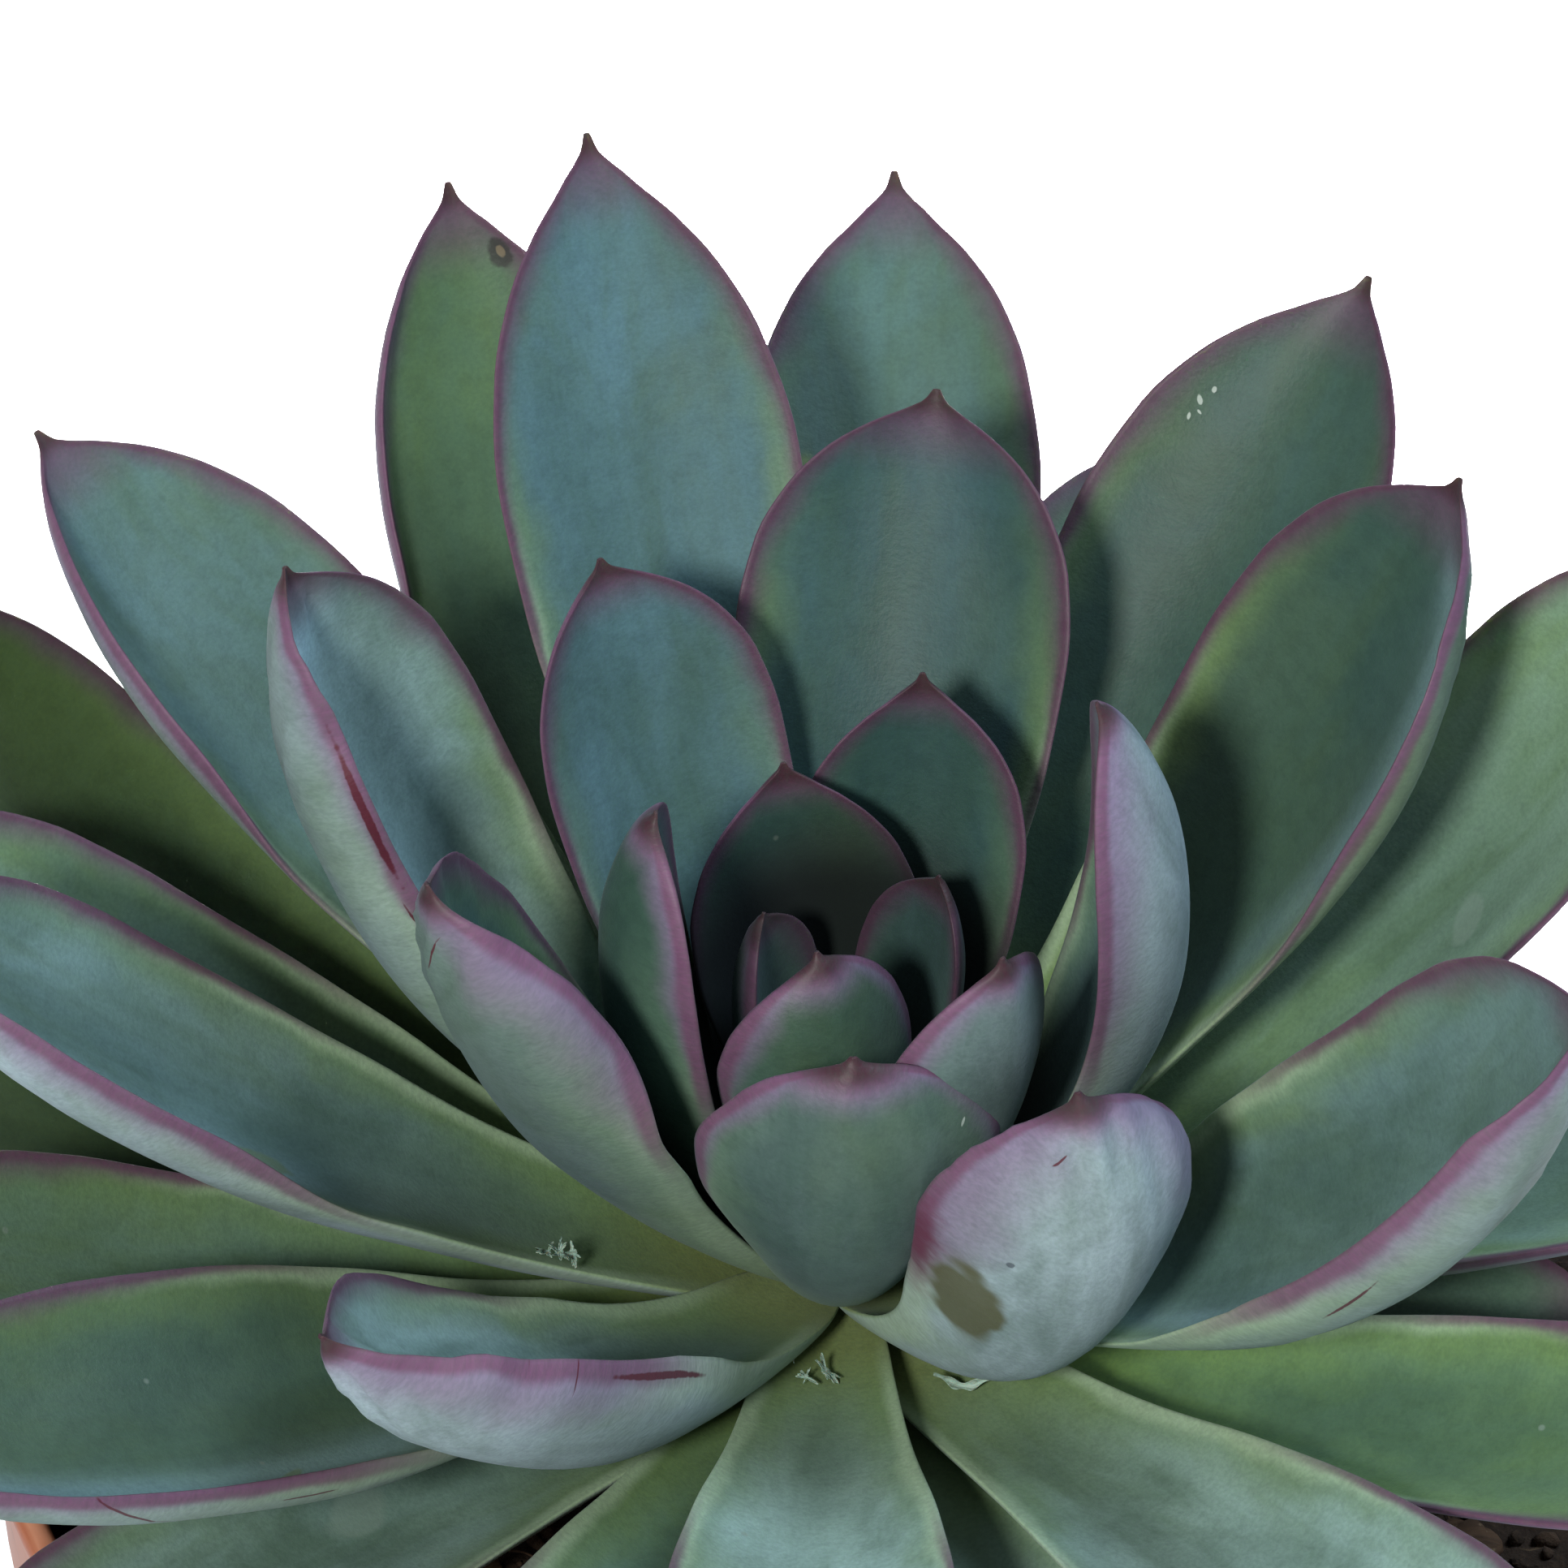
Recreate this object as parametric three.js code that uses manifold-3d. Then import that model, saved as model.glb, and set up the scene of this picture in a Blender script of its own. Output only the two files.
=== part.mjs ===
// A potted succulent: one rosette of thick pointed leaves on a short stem, in soil, in a thin
// round plant pot. Millimetres, +Z up. The origin is the centre of the pot's flat underside.
// The leaves are numbered from the youngest, in the heart, to the oldest, at the bottom.
import * as THREE from 'three';
import { mergeVertices } from 'three/addons/utils/BufferGeometryUtils.js';
import Module from 'manifold-3d';

const wasm = await Module();
wasm.setup();

// ---- driving dimensions ----
const GAP = 0.3; // left between pieces that touch on the real plant
const POT = {
  height: 100, rimRadius: 60, collarHeight: 14, collarTaper: 1, collarStep: 1.6, collarLedge: 1.5,
  beadHeight: 2.2, baseRadius: 42, baseRound: 2.5, wall: 1.8, floor: 2.4, sides: 40,
};
const DRAIN = { count: 6, radius: 4, circle: 29, sides: 16 };
const SOIL = {
  depthBelowRim: 7, hollow: 1.5, grain: 0.9, rings: 10, sides: 36,
  ripples: [[0.6, 2.3, 0.4], [0.5, 1.3, 1.7], [0.7, 6.1, 2.9]], // share of the grain, size, skew
};
const STEM = {
  foot: 62, footRound: 6, neck: 5.2, swell: 8, crownBottom: 97, crownRadius: 5.4, dome: 5,
  crownTop: 107.6, tipRadius: 2.2, sides: 16,
};

// How the leaves sit on the stem: each new leaf turns by the golden angle and starts higher.
const SPIRAL = { start: 66.5, turn: -137.5, height: 8.2, drop: 0.26, radius: 2.2, spread: 0.09 };

// Leaf form. Half width and thickness along the blade, as shares of the leaf's own values, and
// how much narrower towards the tip a leaf with a drawn out point is.
const OUTLINE = [[0, 0.32], [0.06, 0.42], [0.14, 0.49], [0.28, 0.62], [0.45, 0.85], [0.58, 0.97], [0.7, 1],
  [0.8, 0.93], [0.87, 0.78], [0.92, 0.58], [0.955, 0.34], [0.975, 0.15], [0.985, 0.07], [1, 0.02]];
const TAPER = [[0, 0], [0.68, 0], [0.8, 0.04], [0.87, 0.1], [0.92, 0.2], [0.955, 0.3], [0.975, 0.3], [1, 0]];
const BODY = [[0, 0.5], [0.12, 0.7], [0.3, 0.9], [0.5, 1], [0.75, 0.85], [0.9, 0.5], [0.97, 0.24], [1, 0.12]];
const EDGE = 0.7; // thickness at the margin
const BELLY = 0.85; // how round the lower face is from margin to margin
const CUP = { foot: 0.3, fullAt: 0.4 }; // the share of its cup that a leaf has at its foot, and where all
const STATIONS = [0, 0.16, 0.35, 0.54, 0.72, 0.85, 0.93, 0.98, 1];
const ACROSS = 4; // strips over the width of one face
const CURVE_STEPS = 60;
const SIMPLER = 0.06; // cuts are kept to within this of their true shape
const BEND_POWER = 1.2; // leaves bend more towards their tips

// One line for each leaf: turn away from the spiral, pitch at the base and at the tip (degrees
// above level), length and width. Then, where a leaf differs from the rest: yaw to one side
// along its length, roll about its own line, cup (how deep its margins stand up), thickness, and
// point (how much of the taper it has, 0 blunt to 1 drawn out).
const leaf = (turn, base, tip, length, width, more = {}) => ({
  turn, base, tip, length, width, yaw: 0, roll: 0, cup: 0.35, thick: 4, bend: BEND_POWER, point: 0, ...more,
});
const LEAVES = [
  leaf(0, 88, 88, 27, 7, { thick: 3 }),
  leaf(0, 82, 87, 27, 9, { thick: 3 }),
  leaf(26, 70, 82, 28, 10, { thick: 3 }),
  leaf(24, 70, 104, 32, 14, { yaw: 46, thick: 3.4, point: 0.6 }),
  leaf(6, 74, 72, 34, 16, { thick: 3.4, point: 1 }),
  leaf(-7, 58, 86, 40, 15, { thick: 3.4, point: 0.6 }),
  leaf(2, 60, 100, 43, 16),
  leaf(13, 60, 74, 40, 16.5, { yaw: 29, point: 1 }),
  leaf(6, 44, 100, 37, 20.5),
  leaf(-5, 52, 72, 50, 19, { yaw: -3 }),
  leaf(6, 34, 112, 57, 18, { bend: 0.9 }),
  leaf(-15, 48, 76, 52, 19, { cup: 0.5 }),
  leaf(0, 49, 56, 58, 23.6),
  leaf(10, 10, 108, 45, 20, { bend: 1, roll: -22, cup: 0.5, thick: 5 }),
  leaf(-1, 33, 86, 66, 21, { cup: 0.5, yaw: -4 }),
  leaf(-6, 36, 72, 71, 23.6, { yaw: 10 }),
  leaf(-9, 16.5, 54, 56, 19.5, { yaw: -30, roll: 14, cup: 0.5, thick: 5.2, point: 0.9 }),
  leaf(-0.5, 42, 57, 78, 21.5, { yaw: -7, point: 1 }),
  leaf(3, 16, 77, 72, 23.5, { yaw: -3, roll: 25, cup: 0.55 }),
  leaf(-6, 24, 54, 78, 21),
  leaf(-8, 36, 45, 76, 23, { yaw: 3, point: 0.8 }),
  leaf(-13.5, 10, 26, 64, 20),
  leaf(0, 28, 40, 77.5, 22, { point: 0.4 }),
  leaf(9, 24, 67, 79, 23.2, { yaw: 3, roll: 5, bend: 1.4 }),
  leaf(-14.5, 16.5, 28, 79, 20.5, { roll: -13 }),
  leaf(-9, 28, 36, 79, 22, { yaw: 8, point: 1 }),
  leaf(-4, 4, 18, 72, 22),
  leaf(-3, 19, 50, 72, 20, { bend: 1.5 }),
  leaf(0, 10, 18, 62, 20),
  leaf(-10, 8, 15, 70, 20),
  leaf(-3, 24, 60, 81, 21.5, { yaw: -16, point: 0.8 }),
  leaf(14.5, 11, 16, 72, 18),
  leaf(-12, 12, 42, 70, 19, { bend: 1.5, roll: -10 }),
  leaf(-2, 12, 20, 72, 19),
  leaf(-6, 3, 11, 70, 19),
  leaf(-2, 14, 66, 80, 19, { bend: 2 }),
  leaf(-22, 0, 3, 50, 14),
  leaf(-23, 4, 11, 70, 19),
  leaf(0, 6, 14, 66, 18),
  leaf(10, 7, 21, 72, 18, { roll: 6 }),
  leaf(-17, 9, 18, 72, 18),
];
// The youngest leaves are still joined in one bud, at the growing point on the top of the stem.
const HEART = { leaves: 3, foot: 3.2, height: 4.5 };

// ---- colours ----
const finish = (color, roughness) => new THREE.MeshStandardMaterial({ color, roughness, metalness: 0 });
const LEAF_FINISH = finish(0x6f9490, 0.55);
const HEART_FINISH = finish(0x5f8487, 0.55);
const STEM_FINISH = finish(0x7c7a4a, 0.8);
const SOIL_FINISH = finish(0x2b1f19, 0.95);
const POT_FINISH = finish(0xa35330, 0.5);

const radians = THREE.MathUtils.degToRad;

// ---- solids ----
function solidOf(geometry) {
  const bare = geometry.clone();
  bare.deleteAttribute('normal');
  bare.deleteAttribute('uv');
  const merged = mergeVertices(bare, 1e-4);
  return new wasm.Manifold(new wasm.Mesh({
    numProp: 3,
    vertProperties: new Float32Array(merged.attributes.position.array),
    triVerts: new Uint32Array(merged.index.array),
  }));
}

function solidFromFaces(points, faces) {
  return new wasm.Manifold(new wasm.Mesh({
    numProp: 3,
    vertProperties: new Float32Array(points.flatMap((p) => [p.x, p.y, p.z])),
    triVerts: new Uint32Array(faces.flat()),
  }));
}

// A turned solid: the profile is [radius, height] pairs from the axis back to the axis.
function turned(profile, sides) {
  const geometry = new THREE.LatheGeometry(profile.map(([r, z]) => new THREE.Vector2(r, z)), sides);
  geometry.rotateX(Math.PI / 2);
  return solidOf(geometry);
}

function largestPiece(solid) {
  const pieces = solid.decompose();
  pieces.sort((a, b) => b.volume() - a.volume());
  return pieces[0];
}

function meshOf(name, solid, material) {
  const data = solid.getMesh();
  const geometry = new THREE.BufferGeometry();
  geometry.setAttribute('position', new THREE.BufferAttribute(new Float32Array(data.vertProperties), 3));
  geometry.setIndex(new THREE.BufferAttribute(new Uint32Array(data.triVerts), 1));
  geometry.computeVertexNormals();
  const mesh = new THREE.Mesh(geometry, material);
  mesh.name = name;
  return mesh;
}

// A smooth curve through [place, value] pairs that never overshoots them.
function smooth(pairs, place) {
  const last = pairs.length - 1;
  const slope = (i) => (pairs[i + 1][1] - pairs[i][1]) / (pairs[i + 1][0] - pairs[i][0]);
  const tangent = (i) => {
    if (i === 0) return slope(0);
    if (i === last) return slope(last - 1);
    const before = slope(i - 1);
    const after = slope(i);
    return before * after <= 0 ? 0 : (2 * before * after) / (before + after);
  };
  let i = 0;
  while (i < last - 1 && place > pairs[i + 1][0]) i += 1;
  const [x0, y0] = pairs[i];
  const [x1, y1] = pairs[i + 1];
  const h = x1 - x0;
  const t = (place - x0) / h;
  const t2 = t * t;
  const t3 = t2 * t;
  return (2 * t3 - 3 * t2 + 1) * y0 + (t3 - 2 * t2 + t) * h * tangent(i)
    + (3 * t2 - 2 * t3) * y1 + (t3 - t2) * h * tangent(i + 1);
}

// ---- leaf ----
// The leaf's middle line: a point, the direction along it, across it and out of its upper face.
function leafLine(number, form) {
  const spiral = SPIRAL.start + SPIRAL.turn * number + form.turn;
  const azimuth = radians(spiral);
  const start = SPIRAL.radius + SPIRAL.spread * number;
  const point = new THREE.Vector3(start * Math.cos(azimuth), start * Math.sin(azimuth),
    POT.height + SPIRAL.height - SPIRAL.drop * number);
  const line = [];
  for (let i = 0; i <= CURVE_STEPS; i += 1) {
    const s = i / CURVE_STEPS;
    const pitch = radians(form.base + (form.tip - form.base) * s ** form.bend);
    const heading = azimuth + radians(form.yaw) * s;
    const along = new THREE.Vector3(Math.cos(pitch) * Math.cos(heading), Math.cos(pitch) * Math.sin(heading),
      Math.sin(pitch));
    const level = new THREE.Vector3(Math.sin(heading), -Math.cos(heading), 0);
    const roll = radians(form.roll) * Math.min(1, 2 * s);
    const across = level.applyAxisAngle(along, roll);
    const upward = new THREE.Vector3().crossVectors(across, along);
    line.push({ point: point.clone(), along, across, upward });
    point.addScaledVector(along, form.length / CURVE_STEPS);
  }
  return line;
}

// One ring of points round the blade at a station: the upper face left to right, then the lower.
function leafRing(form, line, s, grow) {
  const { point, along, across, upward } = line[Math.round(s * CURVE_STEPS)];
  const half = (form.width / 2) * smooth(OUTLINE, s) * (1 - form.point * smooth(TAPER, s)) + grow;
  const cup = form.cup * half * (CUP.foot + (1 - CUP.foot) * Math.min(1, s / CUP.fullAt));
  const thick = Math.max(EDGE, form.thick * smooth(BODY, s));
  const ends = s === 0 ? -grow : s === 1 ? grow : 0;
  const place = (u, height) => point.clone().addScaledVector(along, ends)
    .addScaledVector(across, u * half).addScaledVector(upward, height);
  const upper = [];
  const lower = [];
  for (let i = 0; i <= ACROSS; i += 1) {
    const u = (2 * i) / ACROSS - 1;
    const top = cup * u * u;
    const depth = EDGE + (thick - EDGE) * (1 - u * u) ** BELLY;
    upper.push(place(u, top + grow));
    lower.unshift(place(u, top - depth - grow));
  }
  return [...upper, ...lower];
}

function leafSolid(number, form, grow = 0) {
  const line = leafLine(number, form);
  const rings = STATIONS.map((s) => leafRing(form, line, s, grow));
  const around = rings[0].length;
  const faces = [];
  for (let r = 0; r + 1 < rings.length; r += 1) {
    for (let i = 0; i < around; i += 1) {
      const a = r * around + i;
      const b = r * around + ((i + 1) % around);
      faces.push([a, b, b + around], [a, b + around, a + around]);
    }
  }
  // Both ends are closed strip by strip, from the upper face to the lower one.
  for (const [first, outward] of [[0, false], [(rings.length - 1) * around, true]]) {
    for (let i = 0; i < ACROSS; i += 1) {
      const quad = [first + i, first + i + 1, first + around - 2 - i, first + around - 1 - i];
      if (!outward) quad.reverse();
      faces.push([quad[0], quad[1], quad[2]], [quad[0], quad[2], quad[3]]);
    }
  }
  return solidFromFaces(rings.flat(), faces);
}

// ---- stem ----
function stemSolid(grow = 0) {
  const { foot, footRound, neck, swell, crownBottom, crownRadius, dome, crownTop, tipRadius, sides } = STEM;
  return turned([[0, foot - grow], [neck * 0.7 + grow, foot - grow], [neck + grow, foot + footRound],
    [neck + grow, crownBottom - swell], [crownRadius + grow, crownBottom],
    [crownRadius * 0.8 + grow, crownTop - dome], [tipRadius + grow, crownTop + grow], [0, crownTop + grow]],
  sides);
}

// The growing point, which the youngest leaves stand on.
function growingPoint(grow = 0) {
  const bottom = STEM.crownTop + GAP - grow;
  const shoulder = bottom + HEART.height * 0.7;
  const radius = HEART.foot + grow;
  return turned([[0, bottom], [radius, bottom], [radius * 0.7, shoulder], [0, bottom + HEART.height + grow]],
    STEM.sides);
}

// ---- pot ----
// The wall's outline, from the underside up the outside, over the rim's bead and down the inside.
function potProfile() {
  const { height, rimRadius, collarHeight, collarTaper, collarStep, collarLedge, beadHeight } = POT;
  const { baseRadius, baseRound, wall, floor } = POT;
  const collarFoot = height - collarHeight;
  const collarRadius = rimRadius - collarTaper;
  const bodyTop = collarRadius - collarStep;
  const outside = [[0, 0], [baseRadius - baseRound, 0], [baseRadius - baseRound * 0.3, baseRound * 0.3],
    [baseRadius, baseRound], [bodyTop, collarFoot - collarLedge], [collarRadius, collarFoot],
    [rimRadius - collarTaper * 0.5, height - beadHeight], [rimRadius, height - beadHeight * 0.64],
    [rimRadius - wall * 0.17, height - beadHeight * 0.14], [rimRadius - wall * 0.5, height]];
  const inside = [[rimRadius - wall * 1.17, height - beadHeight * 0.23],
    [rimRadius - wall * 1.33, height - beadHeight * 0.9], [collarRadius - wall, collarFoot + 1],
    [bodyTop - wall, collarFoot - collarLedge], [baseRadius - wall, baseRound + floor],
    [baseRadius - wall - baseRound, floor], [0, floor]];
  return [...outside, ...inside];
}

function potSolid() {
  let pot = turned(potProfile(), POT.sides);
  for (let i = 0; i < DRAIN.count; i += 1) {
    const angle = (2 * Math.PI * (i + 0.5)) / DRAIN.count;
    const drill = new THREE.CylinderGeometry(DRAIN.radius, DRAIN.radius, 3 * POT.floor, DRAIN.sides);
    drill.rotateX(Math.PI / 2);
    drill.translate(DRAIN.circle * Math.cos(angle), DRAIN.circle * Math.sin(angle), POT.floor / 2);
    pot = pot.subtract(solidOf(drill));
  }
  return pot;
}

// ---- soil ----
// The pot's inner radius at a height, where the soil may reach.
function potInside(z) {
  const { height, rimRadius, collarHeight, collarTaper, collarStep, collarLedge } = POT;
  const { baseRadius, baseRound, wall, floor } = POT;
  const low = baseRound + floor;
  const high = height - collarHeight - collarLedge;
  const top = rimRadius - collarTaper - collarStep - wall;
  return THREE.MathUtils.mapLinear(Math.min(z, high), low, high, baseRadius - wall, top);
}

// Crumbs: the height of the soil at a place, as crossing ripples of several sizes.
function crumbs(x, y) {
  const ripple = (size, skew) => Math.sin(x / size + skew) * Math.cos(y / size - 2 * skew);
  return SOIL.ripples.reduce((sum, [share, size, skew]) => sum + SOIL.grain * share * ripple(size, skew), 0);
}

function soilSolid() {
  const { depthBelowRim, hollow, rings, sides } = SOIL;
  const level = POT.height - depthBelowRim;
  const floor = POT.floor + GAP;
  const low = POT.baseRound + POT.floor;
  const edge = potInside(level) - GAP;
  const profile = [[0, floor], [potInside(low) - POT.baseRound - GAP, floor], [potInside(low) - GAP, low]];
  for (let i = rings; i >= 0; i -= 1) profile.push([(edge * i) / rings, level]);
  const geometry = new THREE.LatheGeometry(profile.map(([r, z]) => new THREE.Vector2(r, z)), sides);
  geometry.rotateX(Math.PI / 2);
  const place = geometry.attributes.position;
  for (let i = 0; i < place.count; i += 1) {
    const x = place.getX(i);
    const y = place.getY(i);
    const radius = Math.hypot(x, y);
    if (place.getZ(i) > level - 1) {
      const dish = hollow * (radius / edge) ** 2 - hollow;
      const calm = Math.min(1, radius / STEM.neck); // level at the stem
      place.setZ(i, level + dish + crumbs(x, y) * calm);
    }
  }
  return solidOf(geometry);
}

// ---- assembly ----
const plant = new THREE.Group();
plant.name = 'potted_succulent';

plant.add(meshOf('pot', potSolid(), POT_FINISH));
plant.add(meshOf('soil', soilSolid().subtract(stemSolid(GAP)), SOIL_FINISH));
plant.add(meshOf('stem', stemSolid(), STEM_FINISH));

// Each leaf gives way to the stem and to the younger leaves above it, where their feet crowd.
const takenSpace = [stemSolid(GAP), growingPoint(GAP)];
let heart = growingPoint();
LEAVES.forEach((form, index) => {
  const number = index + 1;
  let solid = leafSolid(number, form);
  if (number <= HEART.leaves) {
    heart = heart.add(solid.subtract(takenSpace[0]));
  } else {
    for (const taken of takenSpace) solid = solid.subtract(taken);
    solid = largestPiece(solid).simplify(SIMPLER);
    plant.add(meshOf(`leaf_${String(number).padStart(2, '0')}`, solid, LEAF_FINISH));
  }
  takenSpace.push(leafSolid(number, form, GAP));
});
plant.add(meshOf('heart', heart, HEART_FINISH));

export default plant;
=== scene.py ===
"""A potted succulent: the finished leaves, bud, stem, soil and pot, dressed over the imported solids.

Metres, +Z up. The origin is the centre of the pot's flat underside. The leaves are numbered from
the youngest, in the heart, to the oldest, at the bottom, as the solids are.
"""

import random
from functools import reduce
from math import cos, hypot, pi, radians, sin, sqrt

import bpy
import numpy as np
from mathutils import Matrix, Vector, noise


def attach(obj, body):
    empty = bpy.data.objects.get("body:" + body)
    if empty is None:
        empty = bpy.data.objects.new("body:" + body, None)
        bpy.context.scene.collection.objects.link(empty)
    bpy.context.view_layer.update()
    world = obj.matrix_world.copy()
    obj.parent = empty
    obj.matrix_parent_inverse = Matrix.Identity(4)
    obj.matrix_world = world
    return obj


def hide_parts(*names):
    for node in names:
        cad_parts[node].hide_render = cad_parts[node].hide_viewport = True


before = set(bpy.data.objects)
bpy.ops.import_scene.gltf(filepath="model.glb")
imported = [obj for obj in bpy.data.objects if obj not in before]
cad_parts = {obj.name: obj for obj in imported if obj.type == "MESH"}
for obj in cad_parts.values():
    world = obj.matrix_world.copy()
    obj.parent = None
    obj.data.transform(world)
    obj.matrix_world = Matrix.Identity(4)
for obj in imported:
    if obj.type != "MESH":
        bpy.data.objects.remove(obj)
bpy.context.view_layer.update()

MM = 0.001
SEED = 7

# ---- camera ----
VIEW = {"target": (-3.2 * MM, 0, 148.9 * MM), "elevation": 43.4, "distance": 0.6, "lens": 206.8,
        "sensor": 36}

# ---- the leaves' places, as the solids have them ----
SPIRAL = {"start": 66.5, "turn": -137.5, "height": 108.2, "drop": 0.26, "radius": 2.2, "spread": 0.09}
OUTLINE = [(0, 0.32), (0.06, 0.42), (0.14, 0.49), (0.28, 0.62), (0.45, 0.85), (0.58, 0.97), (0.7, 1),
           (0.8, 0.93), (0.87, 0.78), (0.92, 0.58), (0.955, 0.34), (0.975, 0.15), (0.985, 0.07), (1, 0.02)]
TAPER = [(0, 0), (0.68, 0), (0.8, 0.04), (0.87, 0.1), (0.92, 0.2), (0.955, 0.3), (0.975, 0.3), (1, 0)]
BODY = [(0, 0.5), (0.12, 0.7), (0.3, 0.9), (0.5, 1), (0.75, 0.85), (0.9, 0.5), (0.97, 0.24), (1, 0.12)]
EDGE = 0.7  # how thick a margin is, in millimetres
KEEL = 0.2  # how far the ridge under the tip stands out
UNEVEN = 0.018  # how much a leaf's width wavers, as a share of it
LUMPS = {"upper": (0.1, 14), "lower": (0.12, 18)}  # how high and how long a face's lumps are
CUP = {"foot": 0.3, "full_at": 0.4}
LINE_STEPS = 60
ROLL_STEPS = 20
HEART_LEAVES = 3


def leaf(turn, base, tip, length, width, yaw=0, roll=0, cup=0.35, thick=4, bend=1.2, point=0):
    """One leaf's form in degrees and millimetres."""
    return {"turn": turn, "base": base, "tip": tip, "length": length, "width": width, "yaw": yaw,
            "roll": roll, "cup": cup, "thick": thick, "bend": bend, "point": point}


LEAVES = [
    leaf(0, 88, 88, 27, 7, thick=3),
    leaf(0, 82, 87, 27, 9, thick=3),
    leaf(26, 70, 82, 28, 10, thick=3),
    leaf(24, 70, 104, 32, 14, yaw=46, thick=3.4, point=0.6),
    leaf(6, 74, 72, 34, 16, thick=3.4, point=1),
    leaf(-7, 58, 86, 40, 15, thick=3.4, point=0.6),
    leaf(2, 60, 100, 43, 16),
    leaf(13, 60, 74, 40, 16.5, yaw=29, point=1),
    leaf(6, 44, 100, 37, 20.5),
    leaf(-5, 52, 72, 50, 19, yaw=-3),
    leaf(6, 34, 112, 57, 18, bend=0.9),
    leaf(-15, 48, 76, 52, 19, cup=0.5),
    leaf(0, 49, 56, 58, 23.6),
    leaf(10, 10, 108, 45, 20, bend=1, roll=-22, cup=0.5, thick=5),
    leaf(-1, 33, 86, 66, 21, cup=0.5, yaw=-4),
    leaf(-6, 36, 72, 71, 23.6, yaw=10),
    leaf(-9, 16.5, 54, 56, 19.5, yaw=-30, roll=14, cup=0.5, thick=5.2, point=0.9),
    leaf(-0.5, 42, 57, 78, 21.5, yaw=-7, point=1),
    leaf(3, 16, 77, 72, 23.5, yaw=-3, roll=25, cup=0.55),
    leaf(-6, 24, 54, 78, 21),
    leaf(-8, 36, 45, 76, 23, yaw=3, point=0.8),
    leaf(-13.5, 10, 26, 64, 20),
    leaf(0, 28, 40, 77.5, 22, point=0.4),
    leaf(9, 24, 67, 79, 23.2, yaw=3, roll=5, bend=1.4),
    leaf(-14.5, 16.5, 28, 79, 20.5, roll=-13),
    leaf(-9, 28, 36, 79, 22, yaw=8, point=1),
    leaf(-4, 4, 18, 72, 22),
    leaf(-3, 19, 50, 72, 20, bend=1.5),
    leaf(0, 10, 18, 62, 20),
    leaf(-10, 8, 15, 70, 20),
    leaf(-3, 24, 60, 81, 21.5, yaw=-16, point=0.8),
    leaf(14.5, 11, 16, 72, 18),
    leaf(-12, 12, 42, 70, 19, bend=1.5, roll=-10),
    leaf(-2, 12, 20, 72, 19),
    leaf(-6, 3, 11, 70, 19),
    leaf(-2, 14, 66, 80, 19, bend=2),
    leaf(-22, 0, 3, 50, 14),
    leaf(-23, 4, 11, 70, 19),
    leaf(0, 6, 14, 66, 18),
    leaf(10, 7, 21, 72, 18, roll=6),
    leaf(-17, 9, 18, 72, 18),
]

BLANK = {"around": 44, "rings": 72}

# A leaf's outer face: how much bloom it keeps and how far purple washes over it. REST_OUTER is for
# the leaves that aren't listed.
REST_OUTER = (0.6, 0.8)
OUTER_FACE = {
    1: (0.1, 0), 2: (0.1, 0), 3: (0.1, 0), 4: (0.03, 0), 5: (0.2, 0.1), 6: (0.35, 0),
    7: (0.02, 0), 8: (0.4, 0.3), 9: (0.16, 0), 10: (0.5, 0.4), 11: (0.68, 0.8), 12: (0.25, 0.6),
    14: (0.9, 1.25), 15: (0.48, -0.1), 16: (0.2, -0.4), 17: (1, 0.8), 19: (0.5, 0.1), 20: (1, 0.1),
    23: (0.5, 0.3), 25: (0.55, -0.2), 31: (0.5, 0.3),
}
# A leaf's upper face, in the same way: how much bloom it keeps and how pale that bloom is.
REST_UPPER = (0.4, 0.2)
UPPER_FACE = {
    4: (0.3, 0), 5: (0.12, 0), 6: (0.4, 0), 7: (0.5, 0), 8: (0.28, 0), 9: (0.5, 0.1),
    10: (0.95, 0.12), 11: (0.8, 0.35), 12: (0.3, 0), 13: (0.5, 0), 14: (0.7, 0.3), 15: (0.95, 0.75),
    16: (0.22, 0), 17: (0.95, 0.8), 18: (0.92, 0.12), 19: (0.7, 0.4), 20: (0.75, 0.45),
    21: (0.32, 0), 22: (1, 1), 23: (0.68, 0.22), 24: (0.5, 0.85), 25: (0.22, 0),
    26: (0.55, 0.12), 27: (0.97, 0.9), 28: (0.42, 0.4), 30: (0.4, 0.2), 31: (0.24, 0.05),
    32: (0.6, 0.8), 33: (0.46, 0.35), 35: (1, 1), 36: (0, 0), 37: (0.5, 0.3), 38: (0.78, 0.7),
    40: (0.25, 0.2), 41: (0, 0),
}
# Margins that roll in over the upper face: the side across, where the roll starts in from the middle,
# the stretch of the blade it runs along (begins, full, eases, ends) and the angle it turns through.
ROLLED = {
    12: (-1, 0.45, (0.5, 0.72, 0.9, 0.985), 70), 14: (-1, 0.55, (0.55, 0.75, 0.92, 0.99), 50),
    15: (-1, 0.5, (0.25, 0.5, 0.88, 0.98), 60), 16: (1, 0.6, (0.45, 0.7, 0.9, 0.98), 36),
    17: (-1, 0.6, (0.2, 0.5, 0.85, 0.97), 35), 19: (1, 0.5, (0.3, 0.55, 0.88, 0.98), 55),
    20: (-1, 0.6, (0.45, 0.65, 0.92, 0.99), 45), 23: (-1, 0.6, (0.5, 0.7, 0.92, 0.99), 40),
    25: (-1, 0.6, (0.3, 0.55, 0.9, 0.98), 50), 31: (-1, 0.6, (0.5, 0.7, 0.9, 0.98), 45),
}
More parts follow.
